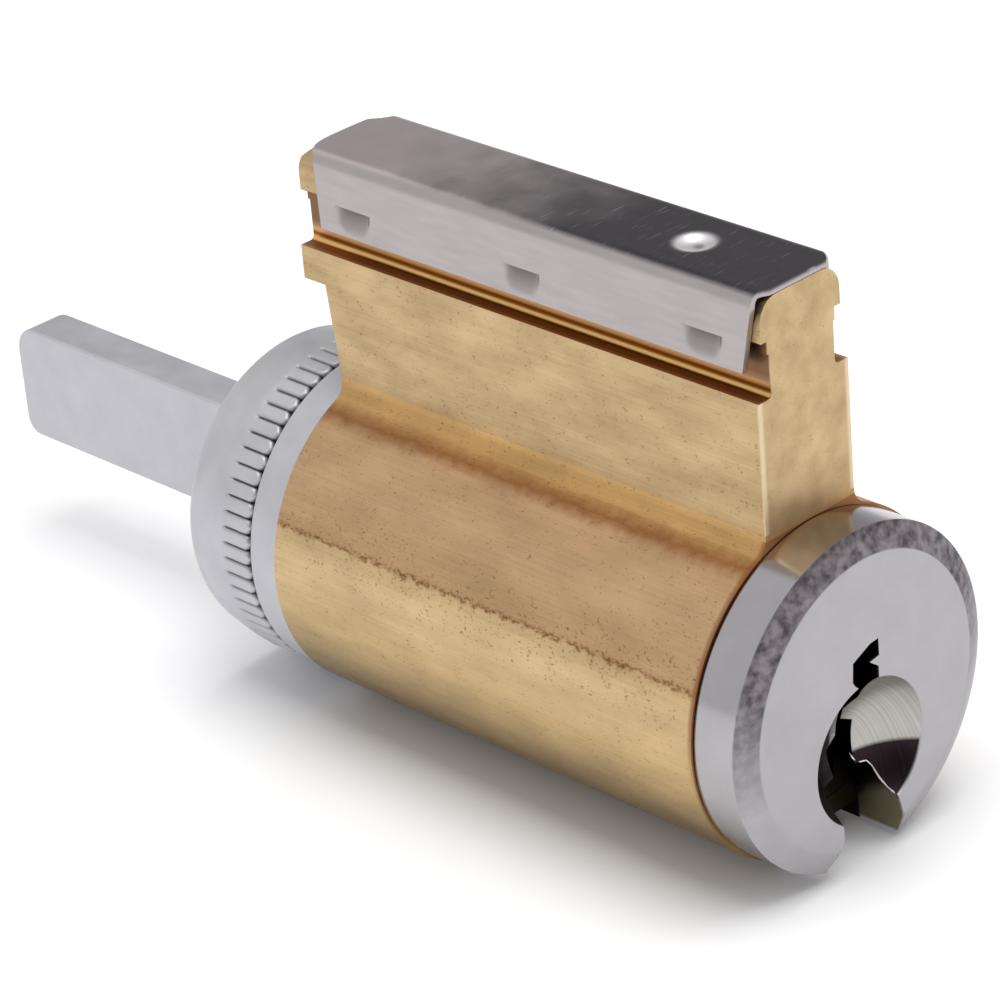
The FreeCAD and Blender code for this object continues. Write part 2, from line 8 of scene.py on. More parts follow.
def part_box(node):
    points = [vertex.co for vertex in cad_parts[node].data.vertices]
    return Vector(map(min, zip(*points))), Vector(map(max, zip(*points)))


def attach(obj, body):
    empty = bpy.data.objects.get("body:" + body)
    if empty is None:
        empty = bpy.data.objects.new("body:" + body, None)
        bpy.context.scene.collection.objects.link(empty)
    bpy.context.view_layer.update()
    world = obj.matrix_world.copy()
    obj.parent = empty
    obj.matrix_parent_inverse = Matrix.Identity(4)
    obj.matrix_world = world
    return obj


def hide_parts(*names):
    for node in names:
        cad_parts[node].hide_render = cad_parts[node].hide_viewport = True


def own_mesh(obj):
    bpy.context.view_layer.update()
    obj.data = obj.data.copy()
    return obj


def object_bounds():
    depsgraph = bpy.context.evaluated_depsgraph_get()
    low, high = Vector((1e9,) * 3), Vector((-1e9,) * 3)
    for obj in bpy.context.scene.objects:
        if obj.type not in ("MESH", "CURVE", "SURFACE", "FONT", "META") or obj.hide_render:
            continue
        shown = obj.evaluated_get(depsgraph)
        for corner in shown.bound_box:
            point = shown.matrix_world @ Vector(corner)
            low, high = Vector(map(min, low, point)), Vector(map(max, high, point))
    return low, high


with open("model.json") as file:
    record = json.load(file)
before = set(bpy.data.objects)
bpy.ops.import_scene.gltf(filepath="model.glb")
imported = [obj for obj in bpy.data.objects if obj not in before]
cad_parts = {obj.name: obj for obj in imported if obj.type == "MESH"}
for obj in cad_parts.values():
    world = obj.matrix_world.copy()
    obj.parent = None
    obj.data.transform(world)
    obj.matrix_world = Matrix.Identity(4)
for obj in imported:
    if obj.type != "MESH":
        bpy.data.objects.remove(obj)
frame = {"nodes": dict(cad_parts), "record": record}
cadBounds = [list(corner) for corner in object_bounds()]

perMetre = 1000.0  # pieces are drawn in millimetres and brought to metres when finished
mounts = {mount["name"]: mount for mount in frame["record"]["mounts"]}


def boxOf(node):
    low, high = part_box(node)
    return Vector(low) * perMetre, Vector(high) * perMetre


shellHigh = boxOf("shell")[1]
plugLow, plugHigh = boxOf("plug")
coverLow, coverHigh = boxOf("chamber_cover")
washerLow, washerHigh = boxOf("cap_washer")
capLow, capHigh = boxOf("retaining_cap")
tailLow, tailHigh = boxOf("tailpiece")
barrelRadius = mounts["barrel_profile"]["dims"]["r_mm"]
barrelLength = mounts["barrel_profile"]["dims"]["length_mm"]
blockHalf = mounts["block_right"]["pos_m"][0] * perMetre
pinBoxes = [boxOf(f"driver_pin_{number}") for number in range(1, 7)]
pinRadius = (pinBoxes[0][1].x - pinBoxes[0][0].x) / 2
pinRow = [(low.y + high.y) / 2 for low, high in pinBoxes]
print("frame read")


def linear(hexText):
    parts = [int(hexText[place:place + 2], 16) / 255 for place in (1, 3, 5)]
    return tuple(c / 12.92 if c <= 0.04045 else ((c + 0.055) / 1.055) ** 2.4 for c in parts) + (1.0,)


def addNode(tree, kind, settings=None, links=None, out=0):
    node = tree.nodes.new(kind)
    for name, value in (settings or {}).items():
        if name == "stops":
            ramp = node.color_ramp.elements
            ramp[0].position, ramp[0].color = value[0]
            ramp[1].position, ramp[1].color = value[-1]
            for place, colour in value[1:-1]:
                ramp.new(place).color = colour
        else:
            setattr(node, name, value)
    for name, value in (links or {}).items():
        if isinstance(value, bpy.types.NodeSocket):
            tree.links.new(value, node.inputs[name])
        else:
            node.inputs[name].default_value = value
    return node if out is None else node.outputs[out]


def newMaterial(name):
    material = bpy.data.materials.new(name)
    material.use_nodes = True
    tree = material.node_tree
    tree.nodes.clear()
    place = addNode(tree, "ShaderNodeTexCoord", out="Object")
    inMm = addNode(tree, "ShaderNodeVectorMath", {"operation": "SCALE"}, {0: place, "Scale": perMetre})
    return material, tree, inMm


def closeMaterial(tree, colour, metallic, roughness, normal):
    links = {"Base Color": colour, "Metallic": metallic, "Roughness": roughness, "Normal": normal}
    shader = addNode(tree, "ShaderNodeBsdfPrincipled", None, links)
    addNode(tree, "ShaderNodeOutputMaterial", None, {"Surface": shader}, out=None)


# Machined brass: drawn bar milled lengthwise, so it shows fine lines along the barrel,
# small dark pits and brown tarnish that gathers in a line along the barrel, with painted
# shade under the barrel and painted shade and highlight bands in the groove under the rail.
brassLook = {
    "block": "#CBB38A",
    "blockShade": "#B99C72",
    "footDark": "#A5794E",
    "frontEdgeHighlight": "#E6D3B2",
    "edge": "#8F5A34",
    # This ramp paints the light and shade round the barrel: darker towards the underside, with a dark band
    # just below the root fillet.
    "shadeAround": [
        # degrees above the level through the axis, colour
        (-90, "#735E37"),
        (-60, "#7F673E"),
        (-35, "#987D50"),
        (-10, "#C2A778"),
        (12, "#CFB389"),
        (19.5, "#CAAC80"),
        (22, "#C09D74"),
        (40, "#C9A680"),
        (56, "#C49F78"),
        (61, "#9C6C42"),
        (66, "#C8A068"),
    ],
    # Painted shade and highlight bands up the neck: dark under the rail, bright and dark lines over its steps
    # and its foot.
    "groove": [
        # millimetres above the ledge, colour
        (-0.06, "#8A5E2E"),
        (0.08, "#E6BC78"),
        (0.18, "#DCAE68"),
        (0.30, "#96632C"),
        (0.40, "#74440F"),
        (0.52, "#BC8C54"),
        (0.64, "#CC9F6C"),
        (0.80, "#9C7C5C"),
        (1.10, "#7E5F44"),
    ],
    # Painted shade across the ledge: darkest in the corner beside the neck.
    "ledge": [
        # millimetres from the middle of the block, colour
        (2.15, "#BC8A4C"),
        (2.27, "#8C5420"),
        (2.50, "#A86E3C"),
        (2.70, "#A06A3A"),
        (2.85, "#B8875C"),
        (3.00, "#C8A078"),
    ],
    "tarnish": "#74431F",
    "tarnishAngle": 20.6,
    "pit": "#5B3C1F",
    "mouthShade": "#2A1E14",
    "lineWidth": 0.07,
    "lineLength": 8.0,
    "speckSize": 0.12,
    "roughness": 0.36,
}


def rampOf(stops):
    low, high = stops[0][0], stops[-1][0]
    return [((place - low) / (high - low), linear(colour)) for place, colour in stops]


def machinedBrass():
    look = brassLook
    material, tree, place = newMaterial("machinedBrass")
    axes = addNode(tree, "ShaderNodeSeparateXYZ", None, {0: place}, out=None).outputs
    side = addNode(tree, "ShaderNodeMath", {"operation": "ABSOLUTE"}, {0: axes["X"]})
    fine, far = 1 / look["lineWidth"], 1 / look["lineLength"]
    along = addNode(tree, "ShaderNodeMapping", None, {"Vector": place, "Scale": (fine, far, fine)})
    lines = addNode(tree, "ShaderNodeTexNoise", None, {"Vector": along, "Scale": 1.0, "Detail": 3.0})
    wide = addNode(tree, "ShaderNodeMapping", None, {"Vector": place, "Scale": (0.7, 0.25, 0.7)})
    cloud = addNode(tree, "ShaderNodeTexNoise", None, {"Vector": wide, "Scale": 1.0, "Detail": 6.0})
    grain = addNode(tree, "ShaderNodeTexNoise", None, {"Vector": place, "Scale": 1.6, "Detail": 8.0})

    angle = addNode(tree, "ShaderNodeMath", {"operation": "ARCTAN2"}, {0: axes["Z"], 1: side})
    wander = addNode(tree, "ShaderNodeMath", {"operation": "SUBTRACT"}, {0: grain, 1: 0.5})
    wandered = addNode(tree, "ShaderNodeMath", {"operation": "MULTIPLY_ADD"}, {0: wander, 1: 0.09, 2: angle})
    first, last = (math.radians(look["shadeAround"][end][0]) for end in (0, -1))
    turn = addNode(tree, "ShaderNodeMapRange", None, {"Value": wandered, "From Min": first, "From Max": last})
    shadeAround = addNode(tree, "ShaderNodeValToRGB", {"stops": rampOf(look["shadeAround"])}, {"Fac": turn})
    block = addNode(tree, "ShaderNodeMix", {"data_type": "RGBA"}, {
        0: cloud, 6: linear(look["blockShade"]), 7: linear(look["block"])}, out=2)
    aboveRoot = addNode(tree, "ShaderNodeMapRange", None, {
        "Value": axes["Z"], "From Min": 8.7, "From Max": 9.2})
    tone = addNode(tree, "ShaderNodeMix", {"data_type": "RGBA"}, {0: aboveRoot, 6: shadeAround, 7: block}, out=2)
    patchy = addNode(tree, "ShaderNodeMapRange", None,
                     {"Value": cloud, "From Min": 0.3, "From Max": 0.7, "To Min": 0.87, "To Max": 1.09})
    tone = addNode(tree, "ShaderNodeMix", {"data_type": "RGBA", "blend_type": "MULTIPLY"},
                   {0: 1.0, 6: tone, 7: patchy}, out=2)
    lineTone = addNode(tree, "ShaderNodeMapRange", None,
                       {"Value": lines, "From Min": 0.3, "From Max": 0.7, "To Min": 0.93, "To Max": 1.05})
    tone = addNode(tree, "ShaderNodeMix", {"data_type": "RGBA", "blend_type": "MULTIPLY"},
                   {0: 1.0, 6: tone, 7: lineTone}, out=2)

    # The tarnish line is broken up by the grain, and pits are thicker near it.
    off = addNode(tree, "ShaderNodeMath", {"operation": "SUBTRACT"},
                  {0: wandered, 1: math.radians(look["tarnishAngle"])})
    off = addNode(tree, "ShaderNodeMath", {"operation": "ABSOLUTE"}, {0: off})
    near = addNode(tree, "ShaderNodeMapRange", {"interpolation_type": "SMOOTHSTEP"},
                   {"Value": off, "From Max": 0.028, "To Min": 0.75, "To Max": 0.0})
    beside = addNode(tree, "ShaderNodeMapRange", {"interpolation_type": "SMOOTHSTEP"},
                     {"Value": off, "From Max": 0.35, "To Min": 0.055, "To Max": 0.0})
    speckPlace = addNode(tree, "ShaderNodeMapping", None, {
        "Vector": place, "Scale": (1 / look["speckSize"], 0.6 / look["speckSize"], 1 / look["speckSize"])})
    specks = addNode(tree, "ShaderNodeTexNoise", None, {"Vector": speckPlace, "Scale": 1.0, "Detail": 2.0})
    clumped = addNode(tree, "ShaderNodeMath", {"operation": "MULTIPLY_ADD"}, {0: grain, 1: 0.4, 2: specks})
    clumped = addNode(tree, "ShaderNodeMath", {"operation": "ADD"}, {0: clumped, 1: beside})
    speckMask = addNode(tree, "ShaderNodeMapRange", None,
                        {"Value": clumped, "From Min": 0.83, "From Max": 1.03, "To Max": 0.7})
    broken = addNode(tree, "ShaderNodeMapRange", None,
                     {"Value": clumped, "From Min": 0.62, "From Max": 0.82, "To Min": 0.25, "To Max": 1.0})
    near = addNode(tree, "ShaderNodeMath", {"operation": "MULTIPLY"}, {0: near, 1: broken})
    tone = addNode(tree, "ShaderNodeMix", {"data_type": "RGBA"}, {
        0: near, 6: tone, 7: linear(look["tarnish"])}, out=2)
    tone = addNode(tree, "ShaderNodeMix", {"data_type": "RGBA"}, {
        0: speckMask, 6: tone, 7: linear(look["pit"])}, out=2)

    # Painted shade and highlight bands: up the neck from the ledge, and across the ledge itself.
    ledge = shellSizes["ledge"]
    low, high = look["groove"][0][0], look["groove"][-1][0]
    rise = addNode(tree, "ShaderNodeMapRange", None,
                   {"Value": axes["Z"], "From Min": ledge + low, "From Max": ledge + high})
    groove = addNode(tree, "ShaderNodeValToRGB", {"stops": rampOf(look["groove"])}, {"Fac": rise})
    low, high = look["ledge"][0][0], look["ledge"][-1][0]
    across = addNode(tree, "ShaderNodeMapRange", None, {"Value": side, "From Min": low, "From Max": high})
    ledgeShade = addNode(tree, "ShaderNodeValToRGB", {"stops": rampOf(look["ledge"])}, {"Fac": across})
    overShelf = addNode(tree, "ShaderNodeMapRange", None, {
        "Value": axes["Z"], "From Min": ledge + 0.01, "From Max": ledge + 0.05})
    hollow = addNode(tree, "ShaderNodeMix", {"data_type": "RGBA"}, {0: overShelf, 6: ledgeShade, 7: groove}, out=2)
    aboveLedge = addNode(tree, "ShaderNodeMapRange", None, {
        "Value": axes["Z"], "From Min": ledge - 0.06, "From Max": ledge - 0.02})
    belowRail = addNode(tree, "ShaderNodeMath", {"operation": "LESS_THAN"},
                        {0: axes["Z"], 1: shellSizes["underRail"] + 0.02})
    inGroove = addNode(tree, "ShaderNodeMath", {"operation": "MULTIPLY"}, {0: aboveLedge, 1: belowRail})
    outward = addNode(tree, "ShaderNodeMath", {"operation": "GREATER_THAN"}, {
        0: side, 1: shellSizes["neckHalf"] - 0.05})
    inGroove = addNode(tree, "ShaderNodeMath", {"operation": "MULTIPLY"}, {0: inGroove, 1: outward})
    backOfFace = addNode(tree, "ShaderNodeMapRange", None, {
        "Value": axes["Y"], "From Min": 0.02, "From Max": 0.1})
    inGroove = addNode(tree, "ShaderNodeMath", {"operation": "MULTIPLY"}, {0: inGroove, 1: backOfFace})
    tone = addNode(tree, "ShaderNodeMix", {"data_type": "RGBA"}, {0: inGroove, 6: tone, 7: hollow}, out=2)

    # A brown edge round the barrel's mouth, and the block's front darker towards its foot.
    atFront = addNode(tree, "ShaderNodeMapRange", None,
                      {"Value": axes["Y"], "From Min": 0.03, "From Max": 0.14, "To Min": 1.0, "To Max": 0.0})
    foot = addNode(tree, "ShaderNodeMapRange", {"interpolation_type": "SMOOTHSTEP"}, {
        "Value": addNode(tree, "ShaderNodeMath", {"operation": "MULTIPLY_ADD"}, {
            0: grain, 1: 2.0, 2: axes["Z"]}),
        "From Min": 9.6, "From Max": 12.4, "To Min": 0.42, "To Max": 0.0})
    foot = addNode(tree, "ShaderNodeMath", {"operation": "MULTIPLY"}, {0: foot, 1: atFront})
    tone = addNode(tree, "ShaderNodeMix", {"data_type": "RGBA"}, {
        0: foot, 6: tone, 7: linear(look["footDark"])}, out=2)
    # Painted highlight: a lighter band down the vertical edges of the block's front.
    corner = addNode(tree, "ShaderNodeMapRange", {"interpolation_type": "SMOOTHSTEP"}, {
        "Value": side, "From Min": blockHalf - 0.34, "From Max": blockHalf - 0.1, "To Max": 0.7})
    corner = addNode(tree, "ShaderNodeMath", {"operation": "MULTIPLY"}, {0: corner, 1: atFront})
    overRoot = addNode(tree, "ShaderNodeMath", {"operation": "GREATER_THAN"}, {0: axes["Z"], 1: 9.0})
    corner = addNode(tree, "ShaderNodeMath", {"operation": "MULTIPLY"}, {0: corner, 1: overRoot})
    tone = addNode(tree, "ShaderNodeMix", {"data_type": "RGBA"}, {
        0: corner, 6: tone, 7: linear(look["frontEdgeHighlight"])}, out=2)
    upperHalf = addNode(tree, "ShaderNodeMapRange", None,
                        {"Value": angle, "From Min": -0.3, "From Max": 0.2, "To Max": 0.7})
    lip = addNode(tree, "ShaderNodeMapRange", None,
                  {"Value": axes["Y"], "From Min": 0.12, "From Max": 0.3, "To Min": 1.0, "To Max": 0.0})
    lip = addNode(tree, "ShaderNodeMath", {"operation": "MULTIPLY"}, {0: lip, 1: upperHalf})
    onBarrel = addNode(tree, "ShaderNodeMath", {"operation": "LESS_THAN"}, {0: axes["Z"], 1: 8.7})
    lip = addNode(tree, "ShaderNodeMath", {"operation": "MULTIPLY"}, {0: lip, 1: onBarrel})
    tone = addNode(tree, "ShaderNodeMix", {"data_type": "RGBA"}, {
        0: lip, 6: tone, 7: linear(look["edge"])}, out=2)

    # Painted shade on the barrel's mouth and down the bore, and in the drain cut.
    flat = addNode(tree, "ShaderNodeCombineXYZ", None, {"X": axes["X"], "Z": axes["Z"]})
    radius = addNode(tree, "ShaderNodeVectorMath", {"operation": "LENGTH"}, {0: flat}, out="Value")
    mouth = addNode(tree, "ShaderNodeMapRange", None, {
        "Value": radius, "From Min": barrelRadius - 0.5, "From Max": barrelRadius - 0.25,
        "To Min": 0.9, "To Max": 0.0})
    tone = addNode(tree, "ShaderNodeMix", {"data_type": "RGBA"}, {
        0: mouth, 6: tone, 7: linear(look["mouthShade"])}, out=2)
    drain = addNode(tree, "ShaderNodeMath", {"operation": "LESS_THAN"}, {
        0: side, 1: shellSizes["drainHalf"] + 0.05})
    frontEnd = addNode(tree, "ShaderNodeMath", {"operation": "LESS_THAN"}, {
        0: axes["Y"], 1: shellSizes["drainLength"]})
    lower = addNode(tree, "ShaderNodeMath", {"operation": "LESS_THAN"}, {0: axes["Z"], 1: -5.0})
    drain = addNode(tree, "ShaderNodeMath", {"operation": "MULTIPLY"}, {0: drain, 1: frontEnd})
    drain = addNode(tree, "ShaderNodeMath", {"operation": "MULTIPLY"}, {0: drain, 1: lower})
    tone = addNode(tree, "ShaderNodeMix", {"data_type": "RGBA"}, {
        0: drain, 6: tone, 7: linear(look["mouthShade"])}, out=2)

    rough = addNode(tree, "ShaderNodeMapRange", None, {
        "Value": grain, "To Min": look["roughness"] - 0.06, "To Max": look["roughness"] + 0.12})
    bump = addNode(tree, "ShaderNodeBump", None, {"Strength": 0.3, "Distance": 0.00001, "Height": lines})
    bump = addNode(tree, "ShaderNodeBump", {"invert": True}, {
        "Strength": 0.3, "Distance": 0.00002, "Height": speckMask, "Normal": bump})
    closeMaterial(tree, tone, 1.0, rough, bump)
    return material


# Satin nickel plate over turned brass: pale grey with a faint lilac cast, fine turning marks, a mottled bevel
# with painted shade on its upper part, bright cutter arcs in the dished scoop, and painted shade in the
# recesses.
nickelLook = {
    "face": "#B6B3B6",
    "faceShade": "#A4A1A5",
    "bevel": "#857E83",
    "bevelShadeDark": "#4A4449",
    "hollow": "#B4B1AB",
    "hollowShade": "#30272B",
    "recess": "#1E1918",
    "bare": "#857C62",
    "markSpacing": 0.11,
    "roughness": 0.3,
    "rimRoughness": 0.16,
}


def platedNickel(faceRadius, bevelStart, scoopCentre):
    look = nickelLook
    material, tree, place = newMaterial("satinNickelPlate")
    axes = addNode(tree, "ShaderNodeSeparateXYZ", None, {0: place}, out=None)
    flat = addNode(tree, "ShaderNodeCombineXYZ", None, {"X": axes.outputs["X"], "Z": axes.outputs["Z"]})
    radius = addNode(tree, "ShaderNodeVectorMath", {"operation": "LENGTH"}, {0: flat}, out="Value")
    cloud = addNode(tree, "ShaderNodeTexNoise", None, {"Vector": place, "Scale": 0.5, "Detail": 6.0})
    speckle = addNode(tree, "ShaderNodeTexNoise", None, {"Vector": place, "Scale": 1.9, "Detail": 7.0})
    face = addNode(tree, "ShaderNodeMix", {"data_type": "RGBA"}, {
        0: cloud, 6: linear(look["faceShade"]), 7: linear(look["face"])}, out=2)

    mottle = addNode(tree, "ShaderNodeMapRange", None, {"Value": speckle, "From Min": 0.35, "From Max": 0.65})
    bevelTone = addNode(tree, "ShaderNodeMix", {"data_type": "RGBA"}, {
        0: mottle, 6: linear(look["bevelShadeDark"]), 7: linear(look["bevel"])}, out=2)
    outside = addNode(tree, "ShaderNodeMapRange", None,
                      {"Value": radius, "From Min": faceRadius - 0.02, "From Max": faceRadius + 0.06})
    inFront = addNode(tree, "ShaderNodeMapRange", None, {
        "Value": axes.outputs["Y"], "From Min": bevelStart - 0.02, "From Max": bevelStart + 0.04,
        "To Min": 1.0, "To Max": 0.0})
    onBevel = addNode(tree, "ShaderNodeMath", {"operation": "MULTIPLY"}, {0: outside, 1: inFront})
    # Painted shade: the bevel's dark tone is strongest on its upper part and fades towards the bottom.
    upper = addNode(tree, "ShaderNodeMapRange", None, {
        "Value": axes.outputs["Z"], "From Min": -3.0, "From Max": 3.5, "To Min": 0.08, "To Max": 1.0})
    onBevel = addNode(tree, "ShaderNodeMath", {"operation": "MULTIPLY"}, {0: onBevel, 1: upper})
    tone = addNode(tree, "ShaderNodeMix", {"data_type": "RGBA"}, {0: onBevel, 6: face, 7: bevelTone}, out=2)

    # Arcs of the round cutter in the scoop, struck from a point below it.
    fromCutter = addNode(tree, "ShaderNodeVectorMath", {"operation": "SUBTRACT"},
                         {0: flat, 1: (scoopCentre.x - 1.0, 0.0, scoopCentre.z - 1.2)})
    reach = addNode(tree, "ShaderNodeVectorMath", {"operation": "LENGTH"}, {0: fromCutter}, out="Value")
    marks = addNode(tree, "ShaderNodeTexNoise", {"noise_dimensions": "1D"}, {
        "W": addNode(tree, "ShaderNodeMath", {"operation": "DIVIDE"}, {0: reach, 1: look["markSpacing"]}),
        "Scale": 1.0, "Detail": 2.0})
    deep = addNode(tree, "ShaderNodeMapRange", None, {
        "Value": axes.outputs["Y"], "From Min": plugLow.y + 0.03, "From Max": plugLow.y + 0.1})
    within = addNode(tree, "ShaderNodeMapRange", None, {
        "Value": radius, "From Min": faceRadius - 0.9, "From Max": faceRadius - 0.8,
        "To Min": 1.0, "To Max": 0.0})
    inScoop = addNode(tree, "ShaderNodeMath", {"operation": "MULTIPLY"}, {0: deep, 1: within})
    # Painted shade: the lower part of the scoop is darkened.
    low = addNode(tree, "ShaderNodeMapRange", None, {
        "Value": axes.outputs["Z"], "From Min": scoopCentre.z - 0.85, "From Max": scoopCentre.z - 1.05})
    markTone = addNode(tree, "ShaderNodeMix", {"data_type": "RGBA"}, {
        0: low, 6: linear(look["hollow"]), 7: linear(look["hollowShade"])}, out=2)
    markLine = addNode(tree, "ShaderNodeMapRange", None,
                       {"Value": marks, "From Min": 0.3, "From Max": 0.7, "To Min": 0.86, "To Max": 1.08})
    markTone = addNode(tree, "ShaderNodeMix", {"data_type": "RGBA", "blend_type": "MULTIPLY"},
                       {0: 1.0, 6: markTone, 7: markLine}, out=2)
    tone = addNode(tree, "ShaderNodeMix", {"data_type": "RGBA"}, {0: inScoop, 6: tone, 7: markTone}, out=2)

    # Painted shade: the dish is dark left of the keyway, down to where the notch opens.
    leftSide = addNode(tree, "ShaderNodeMapRange", None, {
        "Value": axes.outputs["X"], "From Min": -0.7, "From Max": -0.5, "To Min": 0.95, "To Max": 0.0})
    overNotch = addNode(tree, "ShaderNodeMapRange", None, {
        "Value": axes.outputs["Z"], "From Min": -4.4, "From Max": -4.0})
    shaded = addNode(tree, "ShaderNodeMath", {"operation": "MULTIPLY"}, {0: leftSide, 1: overNotch})
    shaded = addNode(tree, "ShaderNodeMath", {"operation": "MULTIPLY"}, {0: shaded, 1: inScoop})
    tone = addNode(tree, "ShaderNodeMix", {"data_type": "RGBA"},
                   {0: shaded, 6: tone, 7: linear(look["recess"])}, out=2)

    # Painted shade: the keyway and everything behind the head are painted dark; the notch shows bare brass
    # low down and painted shade higher up and further in.
    sphere = dishRadius()
    fromDish = addNode(tree, "ShaderNodeVectorMath", {"operation": "DISTANCE"},
                       {0: place, 1: dishCentre()}, out="Value")
    offDish = addNode(tree, "ShaderNodeMath", {"operation": "GREATER_THAN"}, {0: fromDish, 1: sphere + 0.03})
    slotSide = addNode(tree, "ShaderNodeMath", {"operation": "ABSOLUTE"}, {0: axes.outputs["X"]})
    inKeyway = addNode(tree, "ShaderNodeMath", {"operation": "LESS_THAN"}, {0: slotSide, 1: 1.0})
    behindFace = addNode(tree, "ShaderNodeMapRange", None, {
        "Value": axes.outputs["Y"], "From Min": plugLow.y + 0.06, "From Max": plugLow.y + 0.16})
    within = addNode(tree, "ShaderNodeMath", {"operation": "LESS_THAN"}, {
        0: radius, 1: plugSizes["bodyRadius"] - 0.2})
    inKeyway = addNode(tree, "ShaderNodeMath", {"operation": "MULTIPLY"}, {0: inKeyway, 1: within})
    inKeyway = addNode(tree, "ShaderNodeMath", {"operation": "MULTIPLY"}, {0: inKeyway, 1: offDish})
    inKeyway = addNode(tree, "ShaderNodeMath", {"operation": "MULTIPLY"}, {0: inKeyway, 1: behindFace})
    tone = addNode(tree, "ShaderNodeMix", {"data_type": "RGBA"},
                   {0: inKeyway, 6: tone, 7: linear(look["recess"])}, out=2)
    notchSide = addNode(tree, "ShaderNodeMath", {"operation": "LESS_THAN"}, {0: slotSide, 1: 2.45})
    low = addNode(tree, "ShaderNodeMath", {"operation": "LESS_THAN"},
                  {0: axes.outputs["Z"], 1: plugSizes["notchTop"] + 0.05})
    inNotch = addNode(tree, "ShaderNodeMath", {"operation": "MULTIPLY"}, {0: notchSide, 1: low})
    inNotch = addNode(tree, "ShaderNodeMath", {"operation": "MULTIPLY"}, {0: inNotch, 1: behindFace})
    inNotch = addNode(tree, "ShaderNodeMath", {"operation": "MULTIPLY"}, {0: inNotch, 1: offDish})
    inHead = addNode(tree, "ShaderNodeMath", {"operation": "LESS_THAN"}, {
        0: radius, 1: plugHigh.x - 0.1})
    inNotch = addNode(tree, "ShaderNodeMath", {"operation": "MULTIPLY"}, {0: inNotch, 1: inHead})
    depthTone = addNode(tree, "ShaderNodeMapRange", None, {
        "Value": addNode(tree, "ShaderNodeMath", {"operation": "MULTIPLY_ADD"},
                         {0: axes.outputs["Y"], 1: 0.55, 2: axes.outputs["Z"]}),
        "From Min": -7.3, "From Max": -6.5})
    bareTone = addNode(tree, "ShaderNodeMix", {"data_type": "RGBA"}, {
        0: depthTone, 6: linear(look["bare"]), 7: linear(look["recess"])}, out=2)
    tone = addNode(tree, "ShaderNodeMix", {"data_type": "RGBA"}, {0: inNotch, 6: tone, 7: bareTone}, out=2)

    turning = addNode(tree, "ShaderNodeTexNoise", {"noise_dimensions": "2D"}, {
        "Vector": addNode(tree, "ShaderNodeCombineXYZ", None, {
            "X": addNode(tree, "ShaderNodeMath", {"operation": "DIVIDE"},
                         {0: radius, 1: look["markSpacing"]}), "Y": axes.outputs["Y"]}),
        "Scale": 1.0, "Detail": 2.0})
    height = addNode(tree, "ShaderNodeMix", {"data_type": "FLOAT"}, {0: inScoop, 2: turning, 3: marks})
    rough = addNode(tree, "ShaderNodeMapRange", None, {
        "Value": speckle, "To Min": look["roughness"] - 0.06, "To Max": look["roughness"] + 0.1})
    bump = addNode(tree, "ShaderNodeBump", None, {"Strength": 0.25, "Distance": 0.00001, "Height": height})
    # The rim is burnished by the lever that it sits in, so it mirrors the block beside it.
    onRim = addNode(tree, "ShaderNodeMapRange", None, {
        "Value": radius, "From Min": plugHigh.x - 0.06, "From Max": plugHigh.x - 0.02})
    rough = addNode(tree, "ShaderNodeMix", {"data_type": "FLOAT"}, {
        0: onRim, 2: rough, 3: look["rimRoughness"]})
    closeMaterial(tree, tone, 1.0, rough, bump)
    return material


# Cold-rolled steel strip: smooth grey with a lilac cast, rolling streaks, scuffed on the top where it
# has been handled; the top's darker front is a painted reflection.
stripLook = {
    "side": "#B9B2B2",
    "sideShade": "#A59E9F",
    "topFrontShade": "#524C52",
    "topRear": "#CCC0C0",
    "pressed": "#6F686A",
    "staked": "#F4F0F2",
    "scratch": "#D8D4D6",
    "roughness": 0.3,
}


